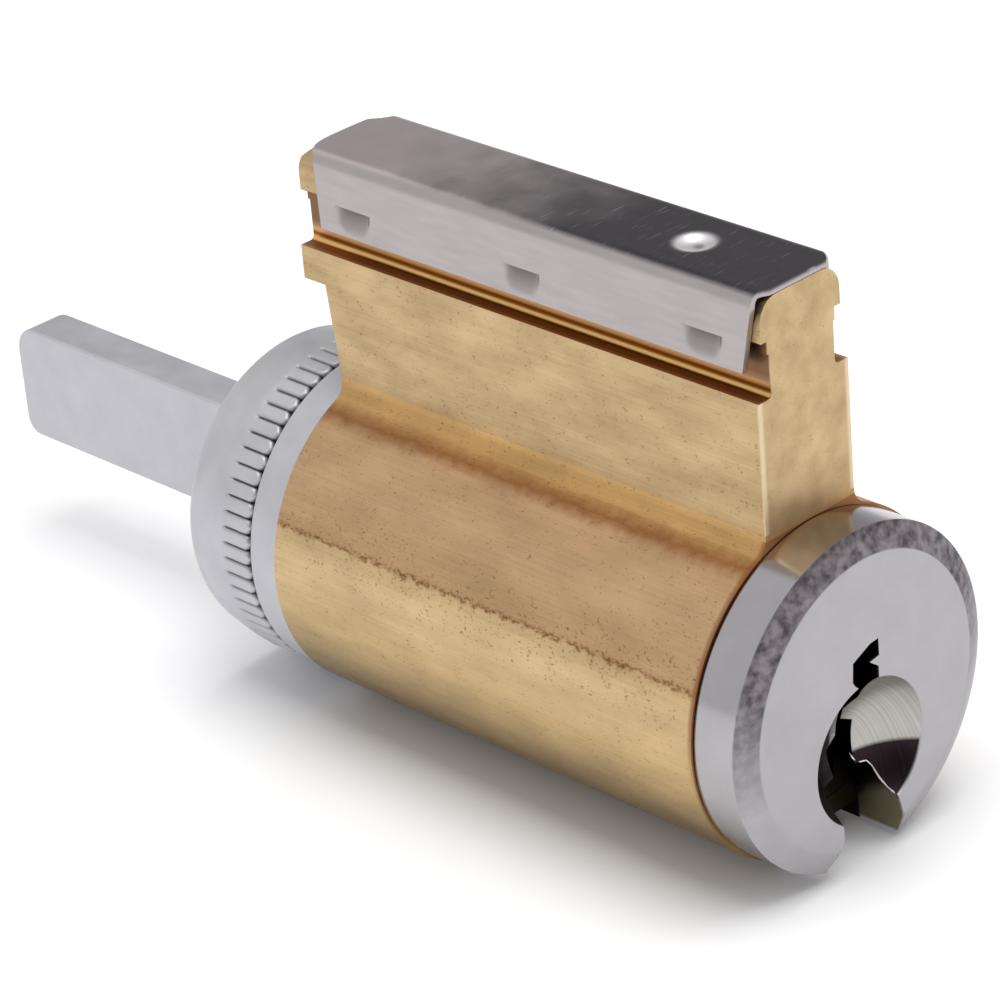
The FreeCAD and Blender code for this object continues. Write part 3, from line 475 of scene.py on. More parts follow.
def rolledStrip():
    look = stripLook
    material, tree, place = newMaterial("coldRolledStrip")
    axes = addNode(tree, "ShaderNodeSeparateXYZ", None, {0: place}, out=None)
    stretch = addNode(tree, "ShaderNodeMapping", None, {"Vector": place, "Scale": (3.0, 0.35, 3.0)})
    streaks = addNode(tree, "ShaderNodeTexNoise", None, {"Vector": stretch, "Scale": 1.0, "Detail": 5.0})
    cloud = addNode(tree, "ShaderNodeTexNoise", None, {"Vector": place, "Scale": 0.45, "Detail": 6.0})
    side = addNode(tree, "ShaderNodeMix", {"data_type": "RGBA"}, {
        0: streaks, 6: linear(look["sideShade"]), 7: linear(look["side"])}, out=2)
    # Painted reflection: the top is dark at the front and lightens towards the rear.
    far = addNode(tree, "ShaderNodeMapRange", {"interpolation_type": "SMOOTHSTEP"}, {
        "Value": addNode(tree, "ShaderNodeMath", {"operation": "MULTIPLY_ADD"},
                         {0: cloud, 1: 8.0, 2: axes.outputs["Y"]}),
        "From Min": 13.0, "From Max": 30.0})
    top = addNode(tree, "ShaderNodeMix", {"data_type": "RGBA"}, {
        0: far, 6: linear(look["topFrontShade"]), 7: linear(look["topRear"])}, out=2)
    turned = addNode(tree, "ShaderNodeMapping", None, {
        "Vector": place, "Rotation": (0.0, 0.0, math.radians(38)), "Scale": (0.7, 9.0, 1.0)})
    scuffs = addNode(tree, "ShaderNodeTexNoise", None, {"Vector": turned, "Scale": 1.0, "Detail": 3.0})
    scuffMask = addNode(tree, "ShaderNodeMapRange", None, {
        "Value": scuffs, "From Min": 0.62, "From Max": 0.74, "To Max": 0.35})
    top = addNode(tree, "ShaderNodeMix", {"data_type": "RGBA"}, {
        0: scuffMask, 6: top, 7: linear(look["scratch"])}, out=2)
    onTop = addNode(tree, "ShaderNodeMapRange", None, {
        "Value": axes.outputs["Z"], "From Min": coverHigh.z - 0.2, "From Max": coverHigh.z - 0.04})
    tone = addNode(tree, "ShaderNodeMix", {"data_type": "RGBA"}, {0: onTop, 6: side, 7: top}, out=2)
    # Painted shade: the crimp dents are darkened in step with their depth.
    pressed = addNode(tree, "ShaderNodeAttribute", {"attribute_name": "pressed"}, out="Fac")
    tone = addNode(tree, "ShaderNodeMix", {"data_type": "RGBA"}, {
        0: pressed, 6: tone, 7: linear(look["pressed"])}, out=2)
    # Partly burnished metal and partly painted highlight: the stake mark is made near white.
    staked = addNode(tree, "ShaderNodeAttribute", {"attribute_name": "staked"}, out="Fac")
    tone = addNode(tree, "ShaderNodeMix", {"data_type": "RGBA"}, {
        0: staked, 6: tone, 7: linear(look["staked"])}, out=2)
    rough = addNode(tree, "ShaderNodeMapRange", None, {
        "Value": cloud, "To Min": look["roughness"] - 0.08, "To Max": look["roughness"] + 0.12})
    bump = addNode(tree, "ShaderNodeBump", None, {"Strength": 0.2, "Distance": 0.00001, "Height": streaks})
    bump = addNode(tree, "ShaderNodeBump", None, {
        "Strength": 0.3, "Distance": 0.00001, "Height": scuffMask, "Normal": bump})
    closeMaterial(tree, tone, 1.0, rough, bump)
    return material


# Matt zinc plate: even light grey with a dry, slightly cloudy surface; painted shade
# darkens the knurl's grooves, near black towards their front ends.
zincLook = {
    "plate": "#CBCBD0",
    "plateShade": "#B4B4BA",
    "groove": "#A5A19D",
    "gapShade": "#242120",
    "roughness": 0.48,
}


def mattZinc():
    look = zincLook
    material, tree, place = newMaterial("mattZincPlate")
    cloud = addNode(tree, "ShaderNodeTexNoise", None, {"Vector": place, "Scale": 0.6, "Detail": 6.0})
    dry = addNode(tree, "ShaderNodeTexNoise", None, {"Vector": place, "Scale": 9.0, "Detail": 3.0})
    tone = addNode(tree, "ShaderNodeMix", {"data_type": "RGBA"}, {
        0: cloud, 6: linear(look["plateShade"]), 7: linear(look["plate"])}, out=2)
    # Painted shade in the knurl's grooves, read from the groove attribute that the knurl stores.
    groove = addNode(tree, "ShaderNodeAttribute", {"attribute_name": "groove"}, out="Fac")
    grooveTone = addNode(tree, "ShaderNodeValToRGB", {"stops": [
        (0.0, linear("#FFFFFF")), (0.1, linear("#E4E4E4")), (0.3, linear(look["groove"])),
        (0.56, linear(look["gapShade"])), (1.0, linear(look["gapShade"]))]}, {"Fac": groove})
    tone = addNode(tree, "ShaderNodeMix", {"data_type": "RGBA", "blend_type": "MULTIPLY"}, {
        0: 1.0, 6: tone, 7: grooveTone}, out=2)
    rough = addNode(tree, "ShaderNodeMapRange", None, {
        "Value": cloud, "To Min": look["roughness"] - 0.05, "To Max": look["roughness"] + 0.08})
    bump = addNode(tree, "ShaderNodeBump", None, {"Strength": 0.25, "Distance": 0.00001, "Height": dry})
    closeMaterial(tree, tone, 0.85, rough, bump)
    return material


# Turned pins and drawn wire: small bright metal with fine rings round its own length.
turnedLook = {
    "turnedBrass": ("#D9B26A", "#B98E4A", 0.28, 0.09),
    "turnedNickelSilver": ("#CFC9BC", "#A8A296", 0.26, 0.09),
    # Near-white nickel, used only for the ridge that paints a highlight on the plug.
    "highlightNickel": ("#FFFDF8", "#D8CDBE", 0.3, 0.25),
    "drawnWire": ("#C2C2C6", "#96969C", 0.22, 0.05),
}


def turnedMetal(name, alongY=False):
    light, dark, roughness, spacing = turnedLook[name]
    material, tree, place = newMaterial(name + ("Lengthwise" if alongY else ""))
    scale = (0.15, 1 / spacing, 0.15) if alongY else (0.15, 0.15, 1 / spacing)
    rings = addNode(tree, "ShaderNodeMapping", None, {"Vector": place, "Scale": scale})
    cut = addNode(tree, "ShaderNodeTexNoise", None, {"Vector": rings, "Scale": 1.0, "Detail": 2.0})
    tone = addNode(tree, "ShaderNodeMix", {"data_type": "RGBA"}, {
        0: cut, 6: linear(dark), 7: linear(light)}, out=2)
    rough = addNode(tree, "ShaderNodeMapRange", None, {
        "Value": cut, "To Min": roughness, "To Max": roughness + 0.12})
    bump = addNode(tree, "ShaderNodeBump", None, {"Strength": 0.3, "Distance": 0.00001, "Height": cut})
    closeMaterial(tree, tone, 1.0, rough, bump)
    return material


def newPiece(name, points, faces):
    mesh = bpy.data.meshes.new(name)
    mesh.from_pydata(points, [], faces)
    piece = bpy.data.objects.new(name, mesh)
    bpy.context.scene.collection.objects.link(piece)
    return piece


def turned(name, profile, segments):
    # The profile is (radius, y) pairs. It is a closed ring if it never meets the axis.
    points, rings, faces = [], [], []
    for radius, y in profile:
        start = len(points)
        if radius < 1e-6:
            points.append((0.0, y, 0.0))
            rings.append([start] * segments)
            continue
        for step in range(segments):
            angle = 2 * math.pi * step / segments
            points.append((radius * math.sin(angle), y, radius * math.cos(angle)))
        rings.append(list(range(start, start + segments)))
    pairs = list(zip(rings, rings[1:]))
    if profile[0][0] > 1e-6:
        pairs.append((rings[-1], rings[0]))
    for near, far in pairs:
        for step in range(segments):
            after = (step + 1) % segments
            corners = [near[step], near[after], far[after], far[step]]
            faces.append(list(dict.fromkeys(corners)))
    return newPiece(name, points, faces)


def straight(name, outline, low, high, along="Y"):
    ends = [[(a, at, b) if along == "Y" else (at, a, b) for a, b in outline] for at in (low, high)]
    count = len(outline)
    faces = [list(range(count))[::-1], list(range(count, 2 * count))]
    faces += [[step, (step + 1) % count, count + (step + 1) % count, count + step] for step in range(count)]
    return newPiece(name, ends[0] + ends[1], faces)


def drill(name, across, low, high, radius, along="Z", segments=48):
    # A round cutter: (x, y) across for a hole along Z, (x, z) across for one along Y.
    piece = turned(name, [(0, low), (radius, low), (radius, high), (0, high)], segments)
    if along == "Z":
        piece.data.transform(Matrix.Rotation(math.radians(90), 4, "X"))
        piece.data.transform(Matrix.Translation((across[0], across[1], 0)))
    else:
        piece.data.transform(Matrix.Translation((across[0], 0, across[1])))
    return piece


def arc(centre, radius, start, end, steps):
    angles = [math.radians(start + (end - start) * step / steps) for step in range(steps + 1)]
    return [(centre[0] + radius * math.cos(a), centre[1] + radius * math.sin(a)) for a in angles]


def ridge(name, line, radius, sides=6):
    # A thin closed ridge along a line, with its ends drawn to a point.
    points, faces = [], []
    for step, place in enumerate(line):
        before, after = Vector(line[max(0, step - 1)]), Vector(line[min(len(line) - 1, step + 1)])
        ahead = (after - before).normalized()
        across = ahead.cross(Vector((0.3, -1, 0.2))).normalized()
        over = ahead.cross(across)
        width = radius * (0.25 if step in (0, len(line) - 1) else 0.8 + 0.35 * math.sin(step * 2.4))
        for side in range(sides):
            turn = 2 * math.pi * side / sides
            points.append(Vector(place) + width * (math.cos(turn) * across + math.sin(turn) * over))
    for step in range(len(line) - 1):
        for side in range(sides):
            after = (side + 1) % sides
            faces.append([step * sides + side, step * sides + after, (step + 1) * sides + after,
                          (step + 1) * sides + side])
    faces += [list(range(sides))[::-1], list(range(len(points) - sides, len(points)))]
    piece = newPiece(name, points, faces)
    tidyNormals(piece, flatten=0)
    piece.data.polygons.foreach_set("material_index", [1] * len(faces))
    return piece


def joinTo(piece, other):
    work = bmesh.new()
    work.from_mesh(piece.data)
    work.from_mesh(other.data)
    work.to_mesh(piece.data)
    work.free()
    bpy.data.objects.remove(other)


def tidyNormals(piece, merge=0.0005, flatten=0.3):
    work = bmesh.new()
    work.from_mesh(piece.data)
    bmesh.ops.remove_doubles(work, verts=work.verts, dist=merge)
    if flatten:
        bmesh.ops.dissolve_limit(work, angle_limit=math.radians(flatten), verts=work.verts, edges=work.edges)
    bmesh.ops.recalc_face_normals(work, faces=work.faces)
    for face in work.faces:
        face.smooth = True
    work.to_mesh(piece.data)
    work.free()


def applyModifiers(piece):
    graph = bpy.context.evaluated_depsgraph_get()
    mesh = bpy.data.meshes.new_from_object(piece.evaluated_get(graph))
    piece.modifiers.clear()
    piece.data = mesh


def carve(piece, cutters, operation="DIFFERENCE"):
    tidyNormals(piece, flatten=0)
    for cutter in cutters:
        tidyNormals(cutter, flatten=0)
        modifier = piece.modifiers.new(cutter.name, "BOOLEAN")
        modifier.operation = operation
        modifier.solver = "EXACT"
        modifier.object = cutter
    applyModifiers(piece)
    for cutter in cutters:
        bpy.data.objects.remove(cutter)


def breakEdges(piece, width, angle=32, segments=2):
    tidyNormals(piece)
    bevel = piece.modifiers.new("brokenEdges", "BEVEL")
    bevel.width = width
    bevel.segments = segments
    bevel.limit_method = "ANGLE"
    bevel.angle_limit = math.radians(angle)
    bevel.miter_outer = "MITER_ARC"
    evened = piece.modifiers.new("evenNormals", "WEIGHTED_NORMAL")
    evened.mode = "FACE_AREA"
    applyModifiers(piece)


def settle(piece, materials, body, slotName, *nodes):
    indices = [face.material_index for face in piece.data.polygons]
    piece.data.materials.clear()
    for material in materials:
        piece.data.materials.append(material)
    if len(materials) > 1:
        piece.data.polygons.foreach_set("material_index", indices)
    piece.data.transform(Matrix.Scale(1 / perMetre, 4))
    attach(piece, body)
    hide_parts(*nodes)
    print(piece.name, len(piece.data.polygons), "faces")


# Shell: barrel and pin block from one bar, with a T rail on the block.
shellSizes = {
    "rootFillet": 1.1,
    "neckHalf": 2.15,
    "neckFillet": 0.25,
    "ledge": 15.66,
    "underRail": 18.5,
    "lipHeight": 0.65,
    "lipStep": 0.12,
    "railHalf": 2.68,
    "railCorner": 1.2,
    "boreRadius": 6.39,
    "turnedRadius": 14.2,
    "turnedSlope": 0.6,
    "drainHalf": 2.3,
    "drainTop": -7.45,
    "drainLength": 1.6,
    "rearBevel": 0.45,
    "brokenEdge": 0.07,
}


def buildShell():
    size = shellSizes
    top = shellHigh.z
    rootX = blockHalf + size["rootFillet"]
    rootZ = math.sqrt((barrelRadius + size["rootFillet"]) ** 2 - rootX ** 2)
    rootTurn = math.degrees(math.atan2(rootZ, rootX))
    half = arc((0, 0), barrelRadius, -90, rootTurn, 90)
    half += arc((rootX, rootZ), size["rootFillet"], 180 + rootTurn, 180, 10)
    half.append((blockHalf, size["ledge"]))
    foot = (size["neckHalf"] + size["neckFillet"], size["ledge"] + size["neckFillet"])
    half += arc(foot, size["neckFillet"], 270, 180, 6)
    lipFoot = size["underRail"] - size["lipHeight"]
    half += [(size["neckHalf"], lipFoot), (size["neckHalf"] + size["lipStep"], lipFoot)]
    half += [(size["neckHalf"] + size["lipStep"], size["underRail"]), (size["railHalf"], size["underRail"])]
    corner = (size["railHalf"] - size["railCorner"], top - size["railCorner"])
    half += arc(corner, size["railCorner"], 0, 90, 8)
    outline = half + [(-x, z) for x, z in reversed(half[1:])]
    piece = straight("shellBody", outline, 0.0, shellHigh.y)

    rear = barrelLength
    turnedBack = turned("turnedBack", [
        (0, rear), (barrelRadius - 0.02, rear), (size["turnedRadius"], rear + size["turnedSlope"]),
        (size["turnedRadius"], shellHigh.y + 1), (0, shellHigh.y + 1)], 180)
    bore = turned("bore", [(0, -1), (size["boreRadius"], -1), (size["boreRadius"], rear + 3), (0, rear + 3)],
                  144)
    drain = straight("drain", [
        (-size["drainHalf"], size["drainTop"]), (-size["drainHalf"], -barrelRadius - 1),
        (size["drainHalf"], -barrelRadius - 1), (size["drainHalf"], size["drainTop"])],
        -1.0, size["drainLength"])
    chambers = [drill(f"chamber{number}", (0, y), 0.0, top + 1, pinRadius + 0.04)
                for number, y in enumerate(pinRow, start=1)]
    end, cut = shellHigh.y, size["rearBevel"]
    rearBevel = straight("rearBevel", [
        (end - cut, top), (end, top - cut), (end + 1, top - cut), (end + 1, top + 1), (end - cut, top + 1)],
        -5, 5, along="X")
    carve(piece, [turnedBack, bore, drain, rearBevel] + chambers)
    breakEdges(piece, size["brokenEdge"])
    return piece


# Plug: wide head with a dished scoop and a notch, warded keyway, spigot at the rear.
plugSizes = {
    "bodyRadius": 6.35,
    "faceRadius": 7.38,
    "bevelLength": 0.54,
    "headGap": 0.05,
    "spigotRadius": 5.8,
    "shoulder": 28.24,
    "scoopRadius": 3.72,
    "scoopDepth": 2.0,
    "scoopX": 0.08,
    "scoopZ": -2.73,
    "notchTop": -4.3,
    "notchLeft": -2.0,
    "notchLeftFoot": -2.75,
    "keywayEnd": 26.45,
    "chamberFloor": -2.3,
    "slotHalf": 1.35,
    "slotDepth": 1.05,
    "detentRadius": 4.4,
    "detentBore": 0.7,
    "detentDepth": 6.0,
    "brokenEdge": 0.05,
    "highlightRidge": 0.055,
}
# A thin ridge in near-white nickel paints a highlight along the edge where the notch runs out into the dish.
notchHighlightLine = [
    (0.60, -1.12, -3.70), (0.72, -1.20, -4.00), (0.86, -1.24, -4.22), (1.12, -1.32, -4.34),
    (1.40, -1.46, -4.36), (1.54, -1.66, -4.64), (1.62, -2.05, -5.23), (1.72, -2.42, -5.62),
    (1.84, -2.70, -5.86), (1.96, -2.88, -5.98),
]
# The key profile's corners (x, z), clockwise from its narrow top.
keyProfile = [
    (0.95, 2.95), (0.97, 2.05), (0.6, 1.99), (0.3, 1.95), (0.9, 1.5), (0.92, -0.65), (0.15, -1.05),
    (0.15, -1.65), (0.95, -2.05), (0.65, -5.5), (-0.65, -5.5), (-0.95, -2.95), (-0.15, -2.45),
    (-0.15, 0.6), (-0.75, 1.12), (-0.92, 1.4), (-0.85, 2.38), (-0.2, 2.66), (0.36, 2.9)]


def dishRadius():
    size = plugSizes
    return (size["scoopRadius"] ** 2 + size["scoopDepth"] ** 2) / (2 * size["scoopDepth"])


def dishCentre():
    size = plugSizes
    return size["scoopX"], plugLow.y + size["scoopDepth"] - dishRadius(), size["scoopZ"]


def buildPlug():
    size = plugSizes
    face, rear = plugLow.y, plugHigh.y
    piece = turned("plugBody", [
        (0, face), (size["faceRadius"], face), (plugHigh.x, face + size["bevelLength"]),
        (plugHigh.x, -size["headGap"]), (size["bodyRadius"], -size["headGap"]),
        (size["bodyRadius"], size["shoulder"]), (size["spigotRadius"], size["shoulder"]),
        (size["spigotRadius"], rear), (0, rear)], 192)
    keyway = straight("keyway", keyProfile[::-1], face - 1, size["keywayEnd"])
    sphere, scoopY = dishRadius(), dishCentre()[1]
    dish = turned("scoop", [(sphere * math.sin(math.radians(step)),
                             scoopY - sphere * math.cos(math.radians(step)))
                            for step in range(0, 181, 2)], 120)
    dish.data.transform(Matrix.Translation((size["scoopX"], 0, size["scoopZ"])))
    bottom = -plugHigh.x - 1
    notch = straight("notch", [
        (size["notchLeft"], size["notchTop"]), (size["notchLeft"], -6.6),
        (size["notchLeftFoot"], -8.0), (size["notchLeftFoot"] - 0.2, bottom), (2.3, bottom),
        (2.26, -7.4), (2.08, -6.6), (1.85, -5.9), (1.66, -5.3), (1.5, size["notchTop"])], face - 1, 0.0)
    chambers = [drill(f"plugChamber{number}", (0, y), size["chamberFloor"], 9.0, pinRadius + 0.04)
                for number, y in enumerate(pinRow, start=1)]
    slot = straight("slot", [
        (-size["slotHalf"], -7), (size["slotHalf"], -7), (size["slotHalf"], 7), (-size["slotHalf"], 7)],
        rear - size["slotDepth"], rear + 1)
    detent = drill("detentBore", (size["detentRadius"], 0), rear - size["detentDepth"], rear + 1,
                   size["detentBore"], along="Y")
    carve(piece, [keyway, dish, notch, slot, detent] + chambers)
    breakEdges(piece, size["brokenEdge"])
    joinTo(piece, ridge("highlightRidge", notchHighlightLine, size["highlightRidge"]))
    return piece


# Chamber cover: thin strip folded over the rail, crimped three times a side.
coverSizes = {
    "sheet": 0.32,
    "bend": 0.7,
    "grid": 0.15,
    "skirtFrontTop": 0.2,
    "skirtFrontFoot": 0.9,
    "plateFlat": 1.9,
    "plateCorner": 0.3,
    "skirtRear": 0.85,
    "skirtRearFoot": 0.95,
    "farSetback": 0.7,
    "farCorner": 0.45,
    "crimpTop": 18.45,
    "crimpHeight": 1.3,
    "crimpHalf": 1.2,
    "crimpDepth": 0.38,
    "crimps": (3.25, 14.75, 26.25),
    "stakeY": 6.25,
    "stakeRadius": 1.3,
    "stakeDepth": 0.3,
    "brokenEdge": 0.03,
}


def coverPath():
    # Points round the folded strip, from the left skirt's foot to the right one's.
    size = coverSizes
    outer, top, foot = coverHigh.x, coverHigh.z, coverLow.z
    bendFoot = top - size["bend"]
    heights = []
    steps = 11
    below = size["crimpTop"] - 0.03
    heights += [foot + (below - foot) * step / steps for step in range(steps + 1)]
    heights.append(size["crimpTop"] + 0.03)
    steps = 9
    heights += [size["crimpTop"] + 0.03 + (bendFoot - size["crimpTop"] - 0.03) * step / steps
                for step in range(1, steps)]
    left = [(-outer, z) for z in heights]
    left += arc((size["bend"] - outer, bendFoot), size["bend"], 180, 90, 9)
    flat = outer - size["bend"]
    count = round(2 * flat / size["grid"])
    middle = [(-flat + 2 * flat * step / count, top) for step in range(1, count)]
    right = [(-x, z) for x, z in reversed(left)]
    return left + middle + right


def crimpAt(y, z):
    size = coverSizes
    deepest = 0.0
    for middle in size["crimps"]:
        off = abs(y - middle) / size["crimpHalf"]
        if off < 1 and z < size["crimpTop"]:
            foot = size["crimpTop"] - size["crimpHeight"] * math.sqrt(1 - off ** 4)
            slope = (z - foot) / size["crimpHeight"]
            edge = min(1.0, (1 - off) * 6)
            deepest = max(deepest, size["crimpDepth"] * max(0.0, slope) * edge)
    return deepest


def stakeAt(x, y):
    size = coverSizes
    off = math.hypot(x, y - size["stakeY"]) / size["stakeRadius"]
    if off < 0.2:
        return -size["stakeDepth"]
    if off < 1.0:
        return -size["stakeDepth"] * (1 + math.cos((off - 0.2) / 0.8 * math.pi)) / 2
    return 0.0


def buildCover():
    size = coverSizes
    path = coverPath()
    outer, top = coverHigh.x, coverHigh.z
    bendFoot = top - size["bend"]
    rows = round(coverHigh.y / size["grid"])
    points, pressed, staked = [], [], []
    for x, z in path:
        if z < bendFoot:
            share = (z - coverLow.z) / (bendFoot - coverLow.z)
            front = size["skirtFrontFoot"] + (size["skirtFrontTop"] - size["skirtFrontFoot"]) * share
            if x > 0:
                front = size["skirtFrontFoot"]
            rear = coverHigh.y - size["skirtRear"] - (size["skirtRearFoot"] - size["skirtRear"]) * (1 - share)
        else:
            past = max(0.0, (abs(x) - size["plateFlat"]) / (outer - size["plateFlat"]))
            front = size["plateCorner"] * math.sin(min(1.0, past * 1.6) * math.pi / 2)
            front += (size["skirtFrontTop"] - size["plateCorner"]) * past ** 2
            if x > 0:
                front += size["farSetback"] * min(1.0, past * 1.5) ** 2
            rear = coverHigh.y - size["skirtRear"] * min(1.0, (x / outer) ** 4)
            if x > 1.5:
                rear -= size["farCorner"] * math.sin(min(1.0, (x - 1.5) / (outer - 1.5)) * math.pi)
        for row in range(rows + 1):
            y = front + (rear - front) * row / rows
            inX = -math.copysign(crimpAt(y, z), x) if abs(abs(x) - outer) < 1e-6 else 0.0
            inZ = stakeAt(x, y) if z > top - 1e-6 else 0.0
            points.append((x + inX, y, z + inZ))
            pressed.append(min(1.0, abs(inX) / size["crimpDepth"]))
            # Mask for the stake mark's near-white tone, part burnish and part painted highlight.
            core = math.hypot(x - 0.12, y - size["stakeY"] + 0.1) / size["stakeRadius"]
            staked.append(min(1.0, -inZ / size["stakeDepth"] * 3) * min(1.0, max(0.0, core - 0.1) * 6))
    width = rows + 1
    faces = [[a * width + b, a * width + b + 1, (a + 1) * width + b + 1, (a + 1) * width + b]
             for a in range(len(path) - 1) for b in range(rows)]
    piece = newPiece("chamberCover", points, faces)
    for name, values in (("pressed", pressed), ("staked", staked)):
        layer = piece.data.attributes.new(name, "FLOAT", "POINT")
        layer.data.foreach_set("value", values)
    tidyNormals(piece, flatten=0)
    if sum(face.normal.z for face in piece.data.polygons) < 0:
        piece.data.flip_normals()
    thick = piece.modifiers.new("sheet", "SOLIDIFY")
    thick.thickness = size["sheet"]
    thick.offset = -1
    thick.use_even_offset = True
    thick.use_quality_normals = True
    applyModifiers(piece)
    bevel = piece.modifiers.new("shearedEdges", "BEVEL")
    bevel.width = size["brokenEdge"]
    bevel.segments = 2
    bevel.limit_method = "ANGLE"
    bevel.angle_limit = math.radians(60)
    evened = piece.modifiers.new("evenNormals", "WEIGHTED_NORMAL")
    evened.mode = "FACE_AREA"
    applyModifiers(piece)
    return piece


# Washer and knurled cap behind the shell.
capSizes = {
    "bore": 5.84,
    "washerEdge": 0.06,
    "teeth": 64,
    "perTooth": 16,
    "toothDepth": 0.5,
    "toothLength": 1.7,
    "tipLength": 0.45,
    "runOut": 0.45,
    "tipRound": 0.25,
    "taper": 0.33,
    "shoulderLength": 1.0,
    "edge": 7.55,
    "wall": 1.2,
    "holeRadius": 0.75,
    "holes": 8,
    "openingHalf": (1.35, 3.3),
    "sharpFrom": 55,
}


def buildWasher():
    size = capSizes
    profile = [(size["bore"], washerLow.y), (washerHigh.x, washerLow.y),
               (washerHigh.x, washerHigh.y), (size["bore"], washerHigh.y)]
    piece = turned("capWasher", profile, 160)
    breakEdges(piece, size["washerEdge"])
    return piece


def knurlTree():
    # Presses rounded ribs into a turned blank: the grooves are V shaped at the front,
    # narrow behind it, and run out towards the rear.
    tree = bpy.data.node_groups.new("knurl", "GeometryNodeTree")
    tree.interface.new_socket("Geometry", in_out="INPUT", socket_type="NodeSocketGeometry")
    for name, kind in (("Teeth", "Int"), ("Depth", "Float"), ("Front", "Float"), ("Tip Length", "Float"),
                       ("Length", "Float"), ("Run Out", "Float"), ("Inner Radius", "Float"),
                       ("Finish", "Material")):
        tree.interface.new_socket(name, in_out="INPUT", socket_type="NodeSocket" + kind)
    tree.interface.new_socket("Geometry", in_out="OUTPUT", socket_type="NodeSocketGeometry")
    given = addNode(tree, "NodeGroupInput", out=None).outputs
    place = addNode(tree, "GeometryNodeInputPosition")
    axes = addNode(tree, "ShaderNodeSeparateXYZ", None, {0: place}, out=None).outputs
    flat = addNode(tree, "ShaderNodeCombineXYZ", None, {"X": axes["X"], "Z": axes["Z"]})
    radius = addNode(tree, "ShaderNodeVectorMath", {"operation": "LENGTH"}, {0: flat}, out="Value")
    outward = addNode(tree, "ShaderNodeVectorMath", {"operation": "NORMALIZE"}, {0: flat})
    turn = addNode(tree, "ShaderNodeMath", {"operation": "ARCTAN2"}, {0: axes["X"], 1: axes["Z"]})
    share = addNode(tree, "ShaderNodeMath", {"operation": "DIVIDE"}, {0: turn, 1: 2 * math.pi})
    phase = addNode(tree, "ShaderNodeMath", {"operation": "MULTIPLY"}, {0: share, 1: given["Teeth"]})
    phase = addNode(tree, "ShaderNodeMath", {"operation": "FRACT"}, {0: phase})
    offCrest = addNode(tree, "ShaderNodeMath", {"operation": "MULTIPLY_ADD"}, {0: phase, 1: 2.0, 2: -1.0})
    offCrest = addNode(tree, "ShaderNodeMath", {"operation": "ABSOLUTE"}, {0: offCrest})
    behind = addNode(tree, "ShaderNodeMath", {"operation": "SUBTRACT"}, {0: axes["Y"], 1: given["Front"]})
    power = addNode(tree, "ShaderNodeMapRange", {"interpolation_type": "SMOOTHSTEP"}, {
        "Value": behind, "From Max": given["Tip Length"], "To Min": 0.9, "To Max": 7.0})
    tip = addNode(tree, "ShaderNodeMapRange", {"interpolation_type": "SMOOTHSTEP"}, {
        "Value": behind, "From Max": given["Tip Length"], "To Min": 1.0, "To Max": 0.32})
    groove = addNode(tree, "ShaderNodeMath", {"operation": "POWER"}, {0: offCrest, 1: power})
    past = addNode(tree, "ShaderNodeMath", {"operation": "SUBTRACT"}, {0: behind, 1: given["Length"]})
    left = addNode(tree, "ShaderNodeMapRange", {"interpolation_type": "SMOOTHSTEP"}, {
        "Value": past, "From Min": 0.0, "From Max": given["Run Out"], "To Min": 1.0, "To Max": 0.0})
    groove = addNode(tree, "ShaderNodeMath", {"operation": "MULTIPLY"}, {0: groove, 1: left})
    onRim = addNode(tree, "ShaderNodeMath", {"operation": "GREATER_THAN"}, {
        0: radius, 1: given["Inner Radius"]})
    groove = addNode(tree, "ShaderNodeMath", {"operation": "MULTIPLY"}, {0: groove, 1: onRim})
    groove = addNode(tree, "ShaderNodeMath", {"operation": "MULTIPLY"}, {0: groove, 1: tip})
    depth = addNode(tree, "ShaderNodeMath", {"operation": "MULTIPLY"}, {0: groove, 1: given["Depth"]})
    inward = addNode(tree, "ShaderNodeMath", {"operation": "MULTIPLY"}, {0: depth, 1: -1.0})
    offset = addNode(tree, "ShaderNodeVectorMath", {"operation": "SCALE"}, {0: outward, "Scale": inward})
    marked = addNode(tree, "GeometryNodeStoreNamedAttribute", {"data_type": "FLOAT", "domain": "POINT"}, {
        "Geometry": given["Geometry"], "Name": "groove", "Value": groove})
    pressed = addNode(tree, "GeometryNodeSetPosition", None, {"Geometry": marked, "Offset": offset})
    real = addNode(tree, "GeometryNodeRealizeInstances", None, {"Geometry": pressed})
    finished = addNode(tree, "GeometryNodeSetMaterial", None, {"Geometry": real, "Material": given["Finish"]})
    addNode(tree, "NodeGroupOutput", None, {"Geometry": finished}, out=None)
    return tree


